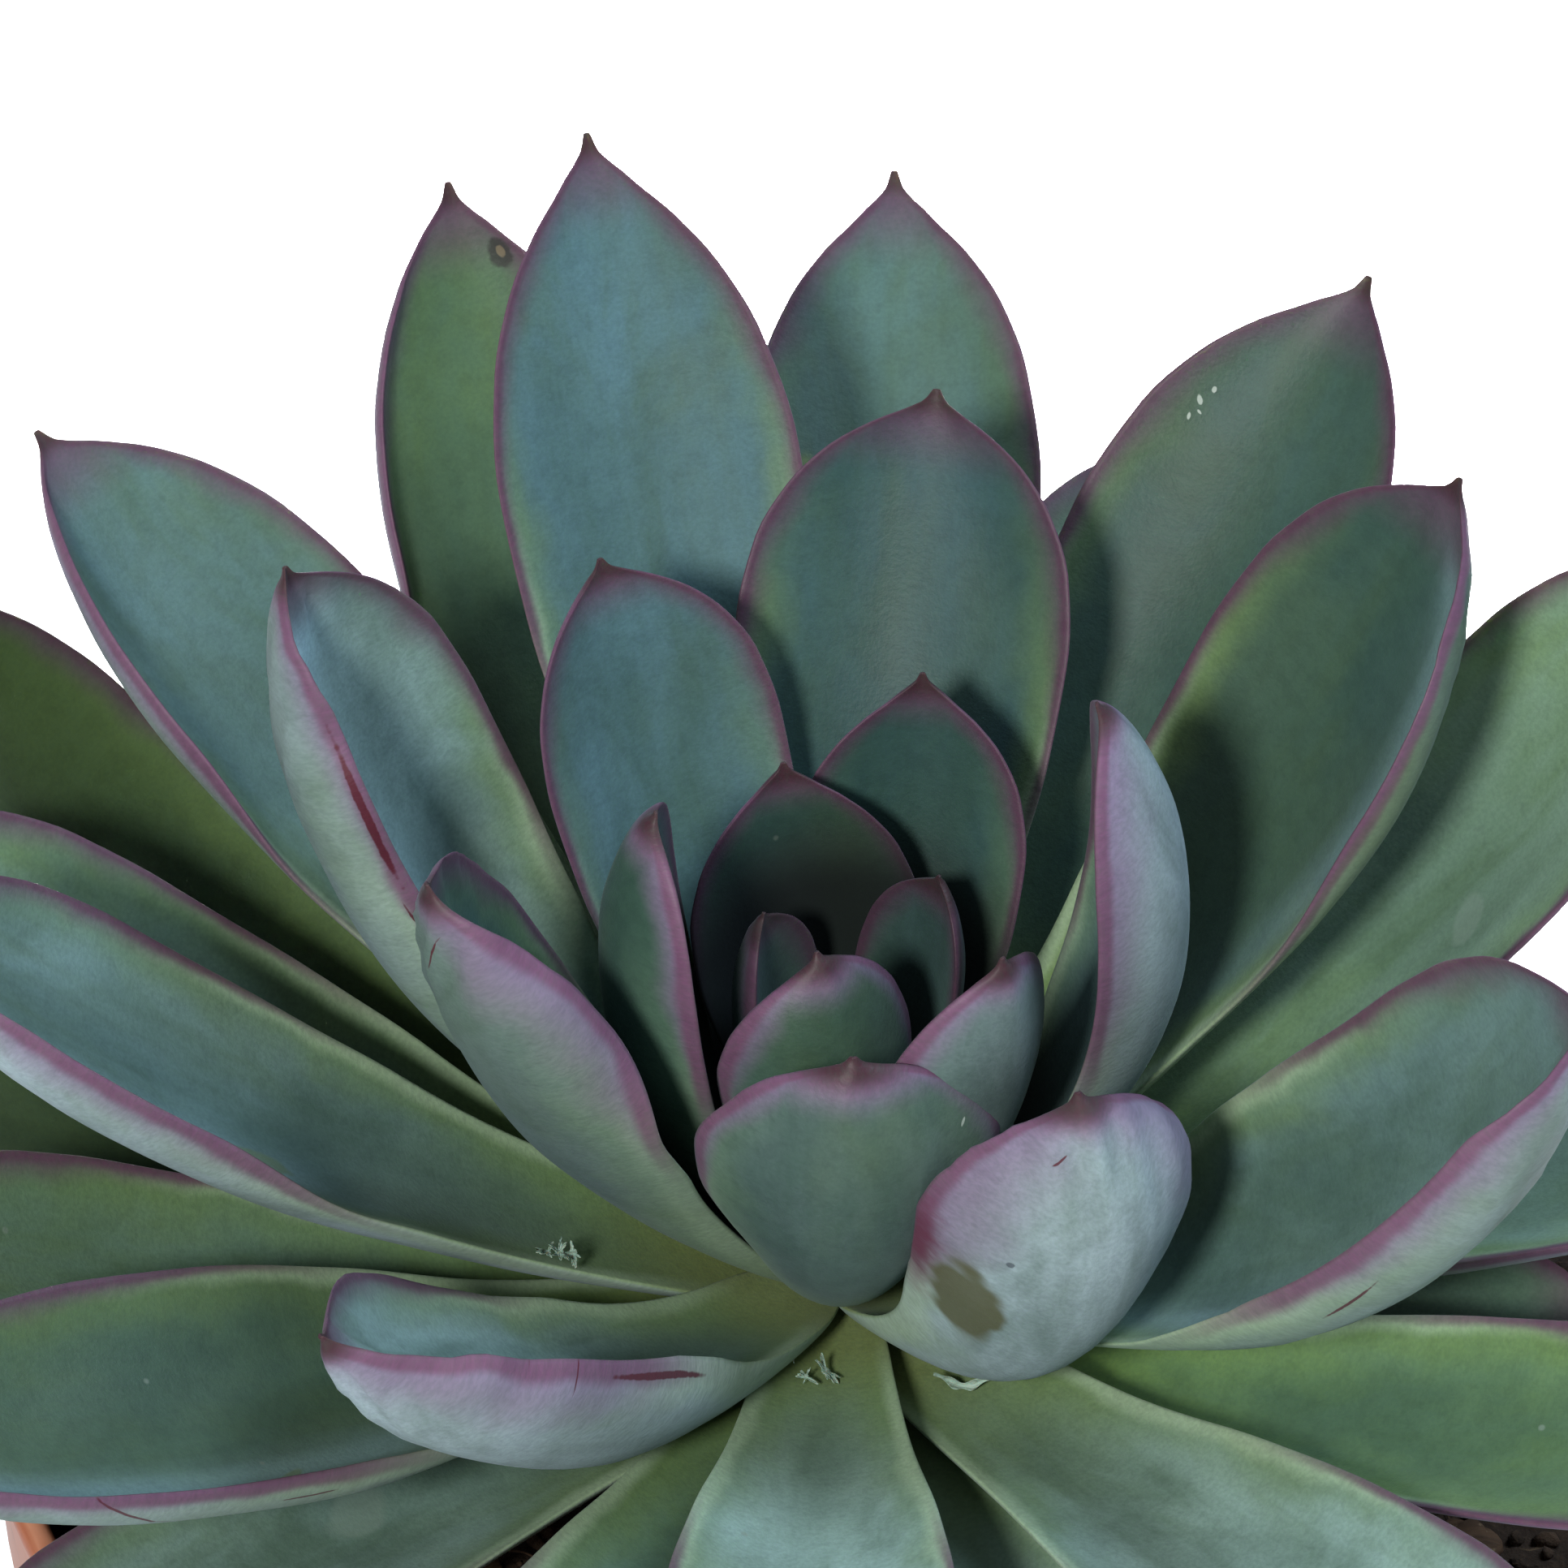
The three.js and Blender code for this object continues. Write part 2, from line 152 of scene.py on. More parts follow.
# Where the upper face catches the light beside a rolled margin: how far in and how wide, in
# millimetres, and how much.
GLOWS = {
    12: (3.4, 2, 0.5), 14: (3.4, 2, 0.5), 15: (3.9, 5.4, 1.6), 16: (3.4, 2, 0.4), 17: (3.6, 2.6, 0.8),
    19: (3.4, 2, 0.5), 20: (4.2, 2.6, 0.85), 25: (3.4, 2, 0.45),
}
# Leaves given painted shade, darkened towards near black as if they stood in shade, and how much.
SHADED_LEAVES = {8: 0.15, 13: 0.16, 16: 0.12, 21: 0.18, 25: 0.15, 36: 0.34, 41: 0.42}
# Leaves whose skin is puckered just below the tip, and how deep in millimetres.
PUCKERS = {9: 0.08, 12: 0.24, 14: 0.3, 15: 0.16, 16: 0.14, 17: 0.18, 19: 0.16, 20: 0.2, 25: 0.12}
# Leaves whose flesh is brighter and yellower than the rest.
LIMY = {24: 0.45, 28: 0.15, 30: 0.1, 31: 0.08, 32: 0.5, 33: 0.2, 36: 0.1, 37: 0.2, 40: 0.34}
# Small dents in a margin: the side across, the place along, how long and how deep in millimetres.
DENTS = {
    9: [(1, 0.84, 2, 0.5)], 12: [(-1, 0.9, 2.4, 0.9), (1, 0.8, 3, 0.5)],
    14: [(-1, 0.93, 1.8, 0.9), (-1, 0.87, 1.6, 0.5)], 15: [(-1, 0.86, 2.5, 0.7), (-1, 0.7, 3, 0.5)],
    17: [(-1, 0.9, 2.2, 1.1), (-1, 0.8, 1.8, 0.8)], 19: [(1, 0.8, 4, 0.5)], 20: [(1, 0.85, 3, 0.4)],
}
# Marks on the skin: leaf, place across and along in millimetres, half widths across and along, turn
# in degrees, kind. The place across is from the leaf's middle, or from a margin for RIM_KINDS.
UPPER_MARKS = [
    (31, 2.8, 75.4, 0.8, 1.2, 20, "scar"), (31, 2.9, 75.5, 0.32, 0.5, 20, "tan"),
    (21, -7, 63, 0.2, 0.4, 30, "fleck"), (21, -6.4, 64.1, 0.16, 0.25, 0, "fleck"),
    (21, -7.2, 61.6, 0.12, 0.3, 10, "fleck"), (21, -6.7, 62.2, 0.1, 0.2, 60, "fleck"),
    (20, -4.6, 42.6, 1.5, 3, 15, "smudge"), (25, -7.2, 47, 0.5, 2.2, 30, "smudge"),
    (26, -6.5, 55, 1.2, 2.4, 0, "smudge"), (22, -3, 33, 0.1, 1.5, 30, "fleck"),
    (38, 2.5, 34, 1.8, 2.6, 20, "scuff"), (33, 1, 47, 1, 3.2, 15, "scuff"),
    (24, 4, 48, 1.4, 2.2, 40, "scuff"),
]
OUTER_MARKS = [
    (14, 0.1, 27.5, 1.5, 9, 0, "blush"), (14, 6.6, 24.9, 1.9, 5.5, -6, "worn"),
    (14, 5.7, 32.4, 0.22, 0.32, 30, "spot"), (14, 2.4, 41.2, 0.07, 0.6, 60, "crack"),
    (12, -1.6, 47.4, 0.08, 1.5, 15, "crack"), (12, 2, 44.5, 0.07, 1, -20, "crack"),
    (17, 0.4, 30.5, 0.12, 6.4, 0, "split"), (17, -8.9, 45, 0.07, 1.2, 50, "crack"),
    (17, -9.3, 40.6, 0.07, 0.9, 60, "crack"), (15, 0.3, 50.6, 0.15, 6.4, 0, "split"),
    (15, -10, 39.5, 0.07, 3.2, -3, "crack"), (25, -8.6, 61, 0.07, 4.6, 8, "crack"),
    (25, -9.1, 47, 0.06, 2.4, 0, "crack"), (19, 9.8, 46, 0.07, 3.2, -4, "crack"),
    (9, -7.4, 30.1, 0.12, 0.3, 20, "fleck"), (10, 1.6, 20.6, 0.08, 1, 12, "fleck"),
]
# Each kind's tone and how much of it covers the skin.
MARK_TONES = {
    "scar": ((0.02, 0.02, 0.018), 0.85), "tan": ((0.17, 0.13, 0.08), 0.6),
    "fleck": ((0.4, 0.45, 0.4), 0.75), "worn": ((0.064, 0.062, 0.022), 0.9),
    "spot": ((0.03, 0.035, 0.05), 0.7), "crack": ((0.06, 0.006, 0.014), 0.92),
    "split": ((0.06, 0.006, 0.014), 0.95), "smudge": ((0.12, 0.16, 0.035), 0.5),
    "blush": ((0.085, 0.014, 0.036), 0.9), "scuff": ((0.15, 0.2, 0.17), 0.35),
}
WAVY_KINDS = ("worn", "smudge", "scuff")
SOFT_KINDS = ("blush",)
RIM_KINDS = ("split", "blush")
# The margin that RIM_KINDS are measured from, where it isn't the one on the side -1.
RIM_SIDE = {14: 1}
LAYER = 37  # keeps one leaf's marks and noise apart from the next leaf's
# The dark hollow of the heart: an oval in millimetres that fades out at its edge and its floor.
HEART_SHADE = {"centre": (1, 2, 116), "reach": (17, 17, 26), "fade": (0.7, 1.12), "floor": (106.5, 112.5)}


# ---- helpers ----
def only(piece):
    """Selects one piece alone, for the next operator to work on."""
    for item in list(bpy.context.selected_objects):
        item.select_set(False)
    piece.select_set(True)
    bpy.context.view_layer.objects.active = piece


def edit(piece):
    only(piece)
    bpy.ops.object.mode_set(mode="EDIT")
    bpy.ops.mesh.select_all(action="SELECT")


def leave_edit():
    bpy.ops.object.mode_set(mode="OBJECT")


def add_object(name, data):
    piece = bpy.data.objects.new(name, data)
    bpy.context.scene.collection.objects.link(piece)
    return piece


def points_of(piece):
    points = np.zeros(len(piece.data.vertices) * 3)
    piece.data.vertices.foreach_get("co", points)
    return points.reshape(-1, 3)


def set_points(piece, points):
    piece.data.vertices.foreach_set("co", np.ascontiguousarray(points, dtype=np.float32).ravel())
    piece.data.update()


def note(piece, name, values):
    """Keeps a number or a place for each point, for the piece's material to read."""
    values = np.ascontiguousarray(values, dtype=np.float32)
    kind, key = ("FLOAT", "value") if values.ndim == 1 else ("FLOAT_VECTOR", "vector")
    piece.data.attributes.new(name, kind, "POINT").data.foreach_set(key, values.ravel())


def smooth(pairs, place):
    """A smooth curve through (place, value) pairs that never overshoots them."""
    x, y = np.array(pairs, float).T
    slope = np.diff(y) / np.diff(x)
    tangent = np.zeros(len(x))
    tangent[[0, -1]] = slope[[0, -1]]
    for i in range(1, len(x) - 1):
        product = slope[i - 1] * slope[i]
        tangent[i] = 0 if product <= 0 else 2 * product / (slope[i - 1] + slope[i])
    i = np.clip(np.searchsorted(x, place, side="right") - 1, 0, len(x) - 2)
    h = x[i + 1] - x[i]
    t = (place - x[i]) / h
    t2 = t * t
    t3 = t2 * t
    return ((2 * t3 - 3 * t2 + 1) * y[i] + (t3 - 2 * t2 + t) * h * tangent[i]
            + (3 * t2 - 2 * t3) * y[i + 1] + (t3 - t2) * h * tangent[i + 1])


def ease(low, high, value):
    """0 below low, 1 above high, smooth between."""
    t = np.clip((value - low) / (high - low), 0, 1)
    return t * t * (3 - 2 * t)


def swell(a, b, draw, size, waves=5):
    """A gentle unevenness over two measures, about 1 high, with lumps of about size."""
    total = np.zeros_like(a)
    for _ in range(waves):
        angle = draw.uniform(0, 2 * pi)
        length = size * draw.uniform(0.7, 1.6)
        shift = draw.uniform(0, 2 * pi)
        total += np.sin((a * cos(angle) + b * sin(angle)) * 2 * pi / length + shift)
    return total / sqrt(waves)


def finish_piece(piece, material, slot, *replaced):
    piece.data.materials.append(material)
    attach(piece, "root")
    if replaced:
        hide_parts(*replaced)


# ---- leaves ----
def leaf_blank():
    """A leaf not yet bent: a ball drawn out from foot to tip, one unit long and two units wide."""
    bpy.ops.mesh.primitive_uv_sphere_add(segments=BLANK["around"], ring_count=BLANK["rings"], radius=1)
    blank = bpy.context.object
    edit(blank)
    bpy.ops.transform.rotate(value=pi / 2, orient_axis="Y", center_override=(0, 0, 0))
    bpy.ops.transform.resize(value=(0.5, 1, 1), center_override=(0, 0, 0))
    bpy.ops.transform.translate(value=(0.5, 0, 0))
    # bending mirrors the blank, which turns its faces out again
    bpy.ops.mesh.normals_make_consistent(inside=True)
    leave_edit()
    bpy.ops.object.shade_smooth()
    return blank


def leaf_line(number, form, s):
    """The leaf's middle line at each s: the point, and the ways along, across and out of its upper face."""
    azimuth = radians(SPIRAL["start"] + SPIRAL["turn"] * number + form["turn"])
    start = SPIRAL["radius"] + SPIRAL["spread"] * number
    height = SPIRAL["height"] - SPIRAL["drop"] * number
    point = np.array([start * cos(azimuth), start * sin(azimuth), height])
    places = np.linspace(0, 1, LINE_STEPS + 1)
    pitch = np.radians(form["base"] + (form["tip"] - form["base"]) * places ** form["bend"])
    heading = azimuth + radians(form["yaw"]) * places
    along = np.stack([np.cos(pitch) * np.cos(heading), np.cos(pitch) * np.sin(heading), np.sin(pitch)], 1)
    steps = along[:-1] * form["length"] / LINE_STEPS
    line = point + np.concatenate([np.zeros((1, 3)), np.cumsum(steps, 0)])
    level = np.stack([np.sin(heading), -np.cos(heading), np.zeros_like(heading)], 1)
    roll = np.radians(form["roll"]) * np.minimum(1, 2 * places)
    across = level * np.cos(roll)[:, None] + np.cross(along, level) * np.sin(roll)[:, None]
    upward = np.cross(across, along)

    def between(rows):
        return np.stack([np.interp(s, places, rows[:, k]) for k in range(3)], 1)

    ways = [between(rows) for rows in (along, across, upward)]
    ways = [way / np.linalg.norm(way, axis=1)[:, None] for way in ways]
    return between(line), *ways


def blade_section(u, half, cup, s, rolled):
    """Where each u of a cupped blade lies across and up, its margin rolled in, and how far it is turned."""
    if rolled is None:
        return u * half, cup * u * u, np.zeros_like(u)
    way, start, (begins, full, eases, ends), angle = rolled
    strength = radians(angle) * ease(begins, full, s) * (1 - ease(eases, ends, s)) * (way * u > 0)
    sideways = np.zeros_like(u)
    rise = np.zeros_like(u)
    for step in range(ROLL_STEPS):
        place = u * (step + 0.5) / ROLL_STEPS
        turn = way * strength * ease(start, 1, np.abs(place))
        sideways += (half * np.cos(turn) - 2 * cup * place * np.sin(turn)) * u / ROLL_STEPS
        rise += (half * np.sin(turn) + 2 * cup * place * np.cos(turn)) * u / ROLL_STEPS
    return sideways, rise, way * strength * ease(start, 1, np.abs(u))


def margin_thickness(s):
    return EDGE * (0.35 + 0.65 * ease(0, 0.03, 1 - s))


def half_width(number, form, s, u, draw):
    """Half the blade's width at each place, a little uneven and with its dents."""
    half = form["width"] / 2 * smooth(OUTLINE, s) * (1 - form["point"] * smooth(TAPER, s))
    wave = np.sin(s * 9 + draw.uniform(0, 6)) * ease(0.1, 0.4, s) * (1 - ease(0.9, 1, s))
    half = np.minimum(half * (1 + UNEVEN * wave), half * 1.01)
    for way, place, size, depth in DENTS.get(number, []):
        half -= depth * np.exp(-((s - place) * form["length"] / size) ** 2) * ease(0.3, 0.9, way * u)
    return half


def face_height(number, form, s, u, v, half, draw):
    """How far each place lies over the blade's middle sheet: a flat upper face, a round lower one."""
    down, across = s * form["length"], u * half
    side = np.abs(v)
    close = side ** 0.5
    taper = ease(0, 0.03, 1 - s)
    edge = margin_thickness(s)
    thick = np.maximum(EDGE, form["thick"] * smooth(BODY, s))
    fine = 1 - ease(0.85, 0.97, s)
    below_tip = 1 - ease(0.93, 0.985, s)
    high, size = LUMPS["upper"]
    top = -edge / 2 * (1 - close) + high * swell(down, across, draw, size) * ease(0.05, 0.3, s) * fine * side
    high, size = LUMPS["lower"]
    bottom = -edge / 2 * (1 + close) - (thick - EDGE) * side ** 1.7 * (0.4 + 0.6 * taper)
    bottom -= KEEL * np.exp(-(u / 0.2) ** 2) * ease(0.72, 0.88, s) * below_tip
    bottom += high * swell(down, across, draw, size) * side * fine
    pucker = np.sin(across * 2.2 + 1.7 * number) + 0.5 * np.sin(across * 4.1 - down * 1.3 + number)
    pucker *= PUCKERS.get(number, 0) * ease(0.74, 0.87, s) * below_tip
    return np.where(v >= 0, top, bottom) + pucker * (0.35 + 0.65 * side)


def bend_leaf(piece, number, form):
    """Gives a copy of the blank the form and the place of one leaf, and notes what its skin needs."""
    draw = random.Random(SEED * 1000 + number)
    blank = points_of(piece)
    s = np.clip(blank[:, 0], 0, 1)
    ring = np.hypot(blank[:, 1], blank[:, 2])
    pole = ring < 1e-6
    ring = np.where(pole, 1, ring)
    u = np.where(pole, 0, blank[:, 1] / ring)
    v = np.where(pole, 0, blank[:, 2] / ring)
    half = half_width(number, form, s, u, draw)
    cup = form["cup"] * half * (CUP["foot"] + (1 - CUP["foot"]) * np.minimum(1, s / CUP["full_at"]))
    height = np.where(pole, -margin_thickness(s) / 2, face_height(number, form, s, u, v, half, draw))
    sideways, rise, turn = blade_section(u, half, cup, s, ROLLED.get(number))
    point, _, across, upward = leaf_line(number, form, s)
    sideways = sideways - height * np.sin(turn)
    rise = rise + height * np.cos(turn)
    placed = point + across * sideways[:, None] + upward * rise[:, None]
    set_points(piece, placed * MM)
    note_skin(piece, number, form, half, placed, u, v, s)


def heart_shade(number, placed, v, s):
    """How much painted shade each place gets: 1 deep in the heart, 0 outside it, and at least the painted
    shade listed for each shaded leaf.
    """
    centre, reach = np.array(HEART_SHADE["centre"]), np.array(HEART_SHADE["reach"])
    depth = np.linalg.norm((placed - centre) / reach, axis=1)
    inward = 1 - 0.5 * ease(0.35, 0.7, s) if number <= HEART_LEAVES else 0.12 + 0.88 * ease(-0.1, 0.1, v)
    inward = inward * ease(*HEART_SHADE["floor"], placed[:, 2])
    return np.maximum((1 - ease(*HEART_SHADE["fade"], depth)) * inward, SHADED_LEAVES.get(number, 0))


def margin_glow(number, half, u, s):
    """The light that a rolled margin throws on the upper face beside it."""
    if number not in GLOWS:
        return np.zeros(len(s))
    way, _, (begins, full, eases, ends), _ = ROLLED[number]
    inward, spread, strength = GLOWS[number]
    glow = ease(begins - 0.1, full, s) * (1 - ease(eases, ends, s)) * strength
    return glow * np.exp(-((half * (1 - way * u) - inward) / spread) ** 2)


def note_skin(piece, number, form, half, placed, u, v, s):
    """Notes what the leaf's material reads at each point: its place on the leaf and the leaf's own tones."""
    frost, flush = OUTER_FACE.get(number, REST_OUTER)
    veil, pale = UPPER_FACE.get(number, REST_UPPER)
    whole = np.ones(len(s))
    down, layer = s * form["length"], LAYER * number * whole
    rim = RIM_SIDE.get(number, -1)
    notes = {
        "age": number / len(LEAVES) * whole, "lime": LIMY.get(number, 0) * whole, "veil": veil * whole,
        "pale": pale * whole, "frost": frost * whole, "flush": flush * whole,
        "from_margin": half * (1 - np.abs(u)), "from_tip": (1 - s) * form["length"], "along": s, "side": v,
        "shade": heart_shade(number, placed, v, s), "glow": margin_glow(number, half, u, s),
        "skin": np.stack([u * half, down, layer], 1),
        "rim_place": np.stack([half * (1 - rim * u), down, layer], 1),
    }
    for name, values in notes.items():
        note(piece, name, values)


def join(pieces, name):
    only(pieces[0])
    for piece in pieces:
        piece.select_set(True)
    bpy.ops.object.join()
    pieces[0].name = name
    pieces[0].data.name = name
    return pieces[0]


def rosette(skin):
    blank = leaf_blank()
    bud = []
    for number, form in enumerate(LEAVES, 1):
        piece = add_object(f"rosette_leaf_{number:02d}", blank.data.copy())
        piece.data.name = piece.name
        bend_leaf(piece, number, form)
        if number <= HEART_LEAVES:
            bud.append(piece)
        else:
            finish_piece(piece, skin, "leaf_skin", f"leaf_{number:02d}")
    finish_piece(join(bud, "bud"), skin, "leaf_skin", "heart")
    bpy.data.objects.remove(blank)


# ---- turned pieces ----
def turned(name, profile, sides):
    """A round piece: a circle drawn on from ring to ring of (radius, height), closed at both ends."""
    radius, height = profile[0]
    bpy.ops.mesh.primitive_circle_add(vertices=sides, radius=radius)
    piece = bpy.context.object
    piece.name = name
    edit(piece)
    bpy.ops.transform.translate(value=(0, 0, height))
    bpy.ops.mesh.edge_face_add()
    bpy.ops.mesh.select_all(action="SELECT")
    for next_radius, next_height in profile[1:]:
        bpy.ops.mesh.extrude_region_move(TRANSFORM_OT_translate={"value": (0, 0, next_height - height)})
        grow = next_radius / radius
        bpy.ops.transform.resize(value=(grow, grow, 1), center_override=(0, 0, next_height))
        radius, height = next_radius, next_height
    bpy.ops.mesh.select_all(action="SELECT")
    bpy.ops.mesh.normals_make_consistent()
    leave_edit()
    return piece


# ---- materials ----
class Nodes:
    """Short hand for wiring one tree of nodes."""

    def __init__(self, tree):
        self.tree = tree

    def link(self, value, socket):
        if isinstance(value, bpy.types.NodeSocket):
            self.tree.links.new(value, socket)
        elif value is not None:
            socket.default_value = (*value, 1) if socket.type == "RGBA" and len(value) == 3 else value

    def fill(self, node, values):
        for key, value in values.items():
            self.link(value, node.inputs[key.replace("_", " ")])

    def add(self, kind, **values):
        """A new node, its inputs linked or set by their names."""
        node = self.tree.nodes.new("ShaderNode" + kind)
        self.fill(node, values)
        return node

    def attribute(self, name, output="Fac"):
        node = self.add("Attribute")
        node.attribute_name = name
        return node.outputs[output]

    def place(self):
        return self.add("TexCoord").outputs["Object"]

    def math(self, operation, a, b=None):
        node = self.add("Math")
        node.operation = operation
        self.link(a, node.inputs[0])
        self.link(b, node.inputs[1])
        return node.outputs[0]

    def times(self, *values):
        return reduce(lambda a, b: self.math("MULTIPLY", a, b), values)

    def plus(self, a, b):
        return self.math("ADD", a, b)

    def less(self, a, b):
        return self.math("SUBTRACT", a, b)

    def most(self, a, b):
        return self.math("MAXIMUM", a, b)

    def ease(self, value, low, high, start=0, end=1):
        """Start at low, end at high, smooth between."""
        node = self.add("MapRange", Value=value, From_Min=low, From_Max=high, To_Min=start, To_Max=end)
        node.interpolation_type = "SMOOTHSTEP"
        return node.outputs[0]

    def noise(self, place, scale, detail=3, rough=0.5, stretch=None, distortion=0):
        if stretch is not None:
            place = self.add("Mapping", Vector=place, Scale=stretch).outputs[0]
        node = self.add("TexNoise", Vector=place, Scale=scale, Detail=detail, Roughness=rough,
                        Distortion=distortion)
        return node.outputs["Fac"]

    def within(self, place, centre, size, turn, ragged, full):
        """1 inside a turned oval with a ragged edge, 0 outside."""
        node = self.add("Mapping", Vector=place, Location=centre, Rotation=(0, 0, radians(turn)), Scale=size)
        node.vector_type = "TEXTURE"
        far = self.add("VectorMath")
        far.operation = "LENGTH"
        self.link(node.outputs[0], far.inputs[0])
        return self.ease(self.plus(far.outputs["Value"], ragged), 1.1, full)

    def mix(self, factor, a, b):
        node = self.add("Mix")
        node.data_type = "RGBA"
        for value, index in ((factor, 0), (a, 6), (b, 7)):
            self.link(value, node.inputs[index])
        return node.outputs[2]

    def bump(self, height, depth, below=None):
        return self.add("Bump", Distance=depth, Height=height, Normal=below).outputs[0]


# What the grain group is given, and each input's kind.
GRAIN = {"Colour": "Color", "Tone": "Color", "Place": "Vector", "Scale": "Float", "Detail": "Float",
         "Roughness": "Float", "Distortion": "Float", "Low": "Float", "High": "Float", "Strength": "Float"}


def grain_group():
    """The grain of every finish: noise that lays a tone over a colour, and its height for a bump."""
    tree = bpy.data.node_groups.new("grain", "ShaderNodeTree")
    for name, kind in GRAIN.items():
        tree.interface.new_socket(name, in_out="INPUT", socket_type="NodeSocket" + kind)
    for name, kind in (("Colour", "Color"), ("Height", "Float")):
        tree.interface.new_socket(name, in_out="OUTPUT", socket_type="NodeSocket" + kind)
    n = Nodes(tree)
    given = tree.nodes.new("NodeGroupInput").outputs
    result = tree.nodes.new("NodeGroupOutput").inputs
    height = n.noise(given["Place"], given["Scale"], given["Detail"], given["Roughness"],
                     distortion=given["Distortion"])
    mask = n.ease(height, given["Low"], given["High"], 0, given["Strength"])
    n.link(n.mix(mask, given["Colour"], given["Tone"]), result["Colour"])
    n.link(height, result["Height"])
    return tree


GRAIN_GROUP = grain_group()


class Finish(Nodes):
    """One material, with its shader at the end."""

    def __init__(self, name):
        self.material = bpy.data.materials.new(name)
        self.material.use_nodes = True
        super().__init__(self.material.node_tree)
        self.tree.nodes.clear()
        self.shader = self.add("BsdfPrincipled")
        self.add("OutputMaterial", Surface=self.shader.outputs[0])

    def grain(self, colour, tone, place, scale, detail, rough, low, high, strength=1, stretch=None,
              distortion=0):
        """Grain from low to high in a tone over a colour: the new colour, and the grain's height."""
        if stretch is not None:
            place = self.add("Mapping", Vector=place, Scale=stretch).outputs[0]
        node = self.add("Group")
        node.node_tree = GRAIN_GROUP
        values = (colour, tone, place, scale, detail, rough, distortion, low, high, strength)
        self.fill(node, dict(zip(GRAIN, values)))
        return node.outputs["Colour"], node.outputs["Height"]

    def finish(self, colour, roughness, normal=None, **fixed):
        self.fill(self.shader, {"Base_Color": colour, "Roughness": roughness, "Normal": normal, **fixed})
        return self.material


SKIN_NOTES = ("from_margin", "from_tip", "along", "side", "age", "veil", "pale", "lime", "frost", "flush",
              "shade", "glow")


def add_marks(n, colour, above, under):
    """Paints the single marks of UPPER_MARKS and OUTER_MARKS over the colour."""
    skin = n.attribute("skin", "Vector")
    rim_place = n.attribute("rim_place", "Vector")
    ragged = n.times(n.less(n.noise(skin, 1.1, 3, 0.6), 0.5), 0.8)
    wavy = n.times(n.less(n.noise(skin, 0.4, 1, 0.5), 0.5), 0.9)
    for face, marks in ((above, UPPER_MARKS), (under, OUTER_MARKS)):
        for number, across, up, wide, tall, turn, kind in marks:
            place = rim_place if kind in RIM_KINDS else skin
            edge = wavy if kind in WAVY_KINDS else ragged
            full = 0.1 if kind in SOFT_KINDS else 0.75
            spot = n.within(place, (across, up, LAYER * number), (wide, tall, 0.5), turn, edge, full)
            tone, strength = MARK_TONES[kind]
            colour = n.mix(n.times(spot, face, strength), colour, tone)
    return colour


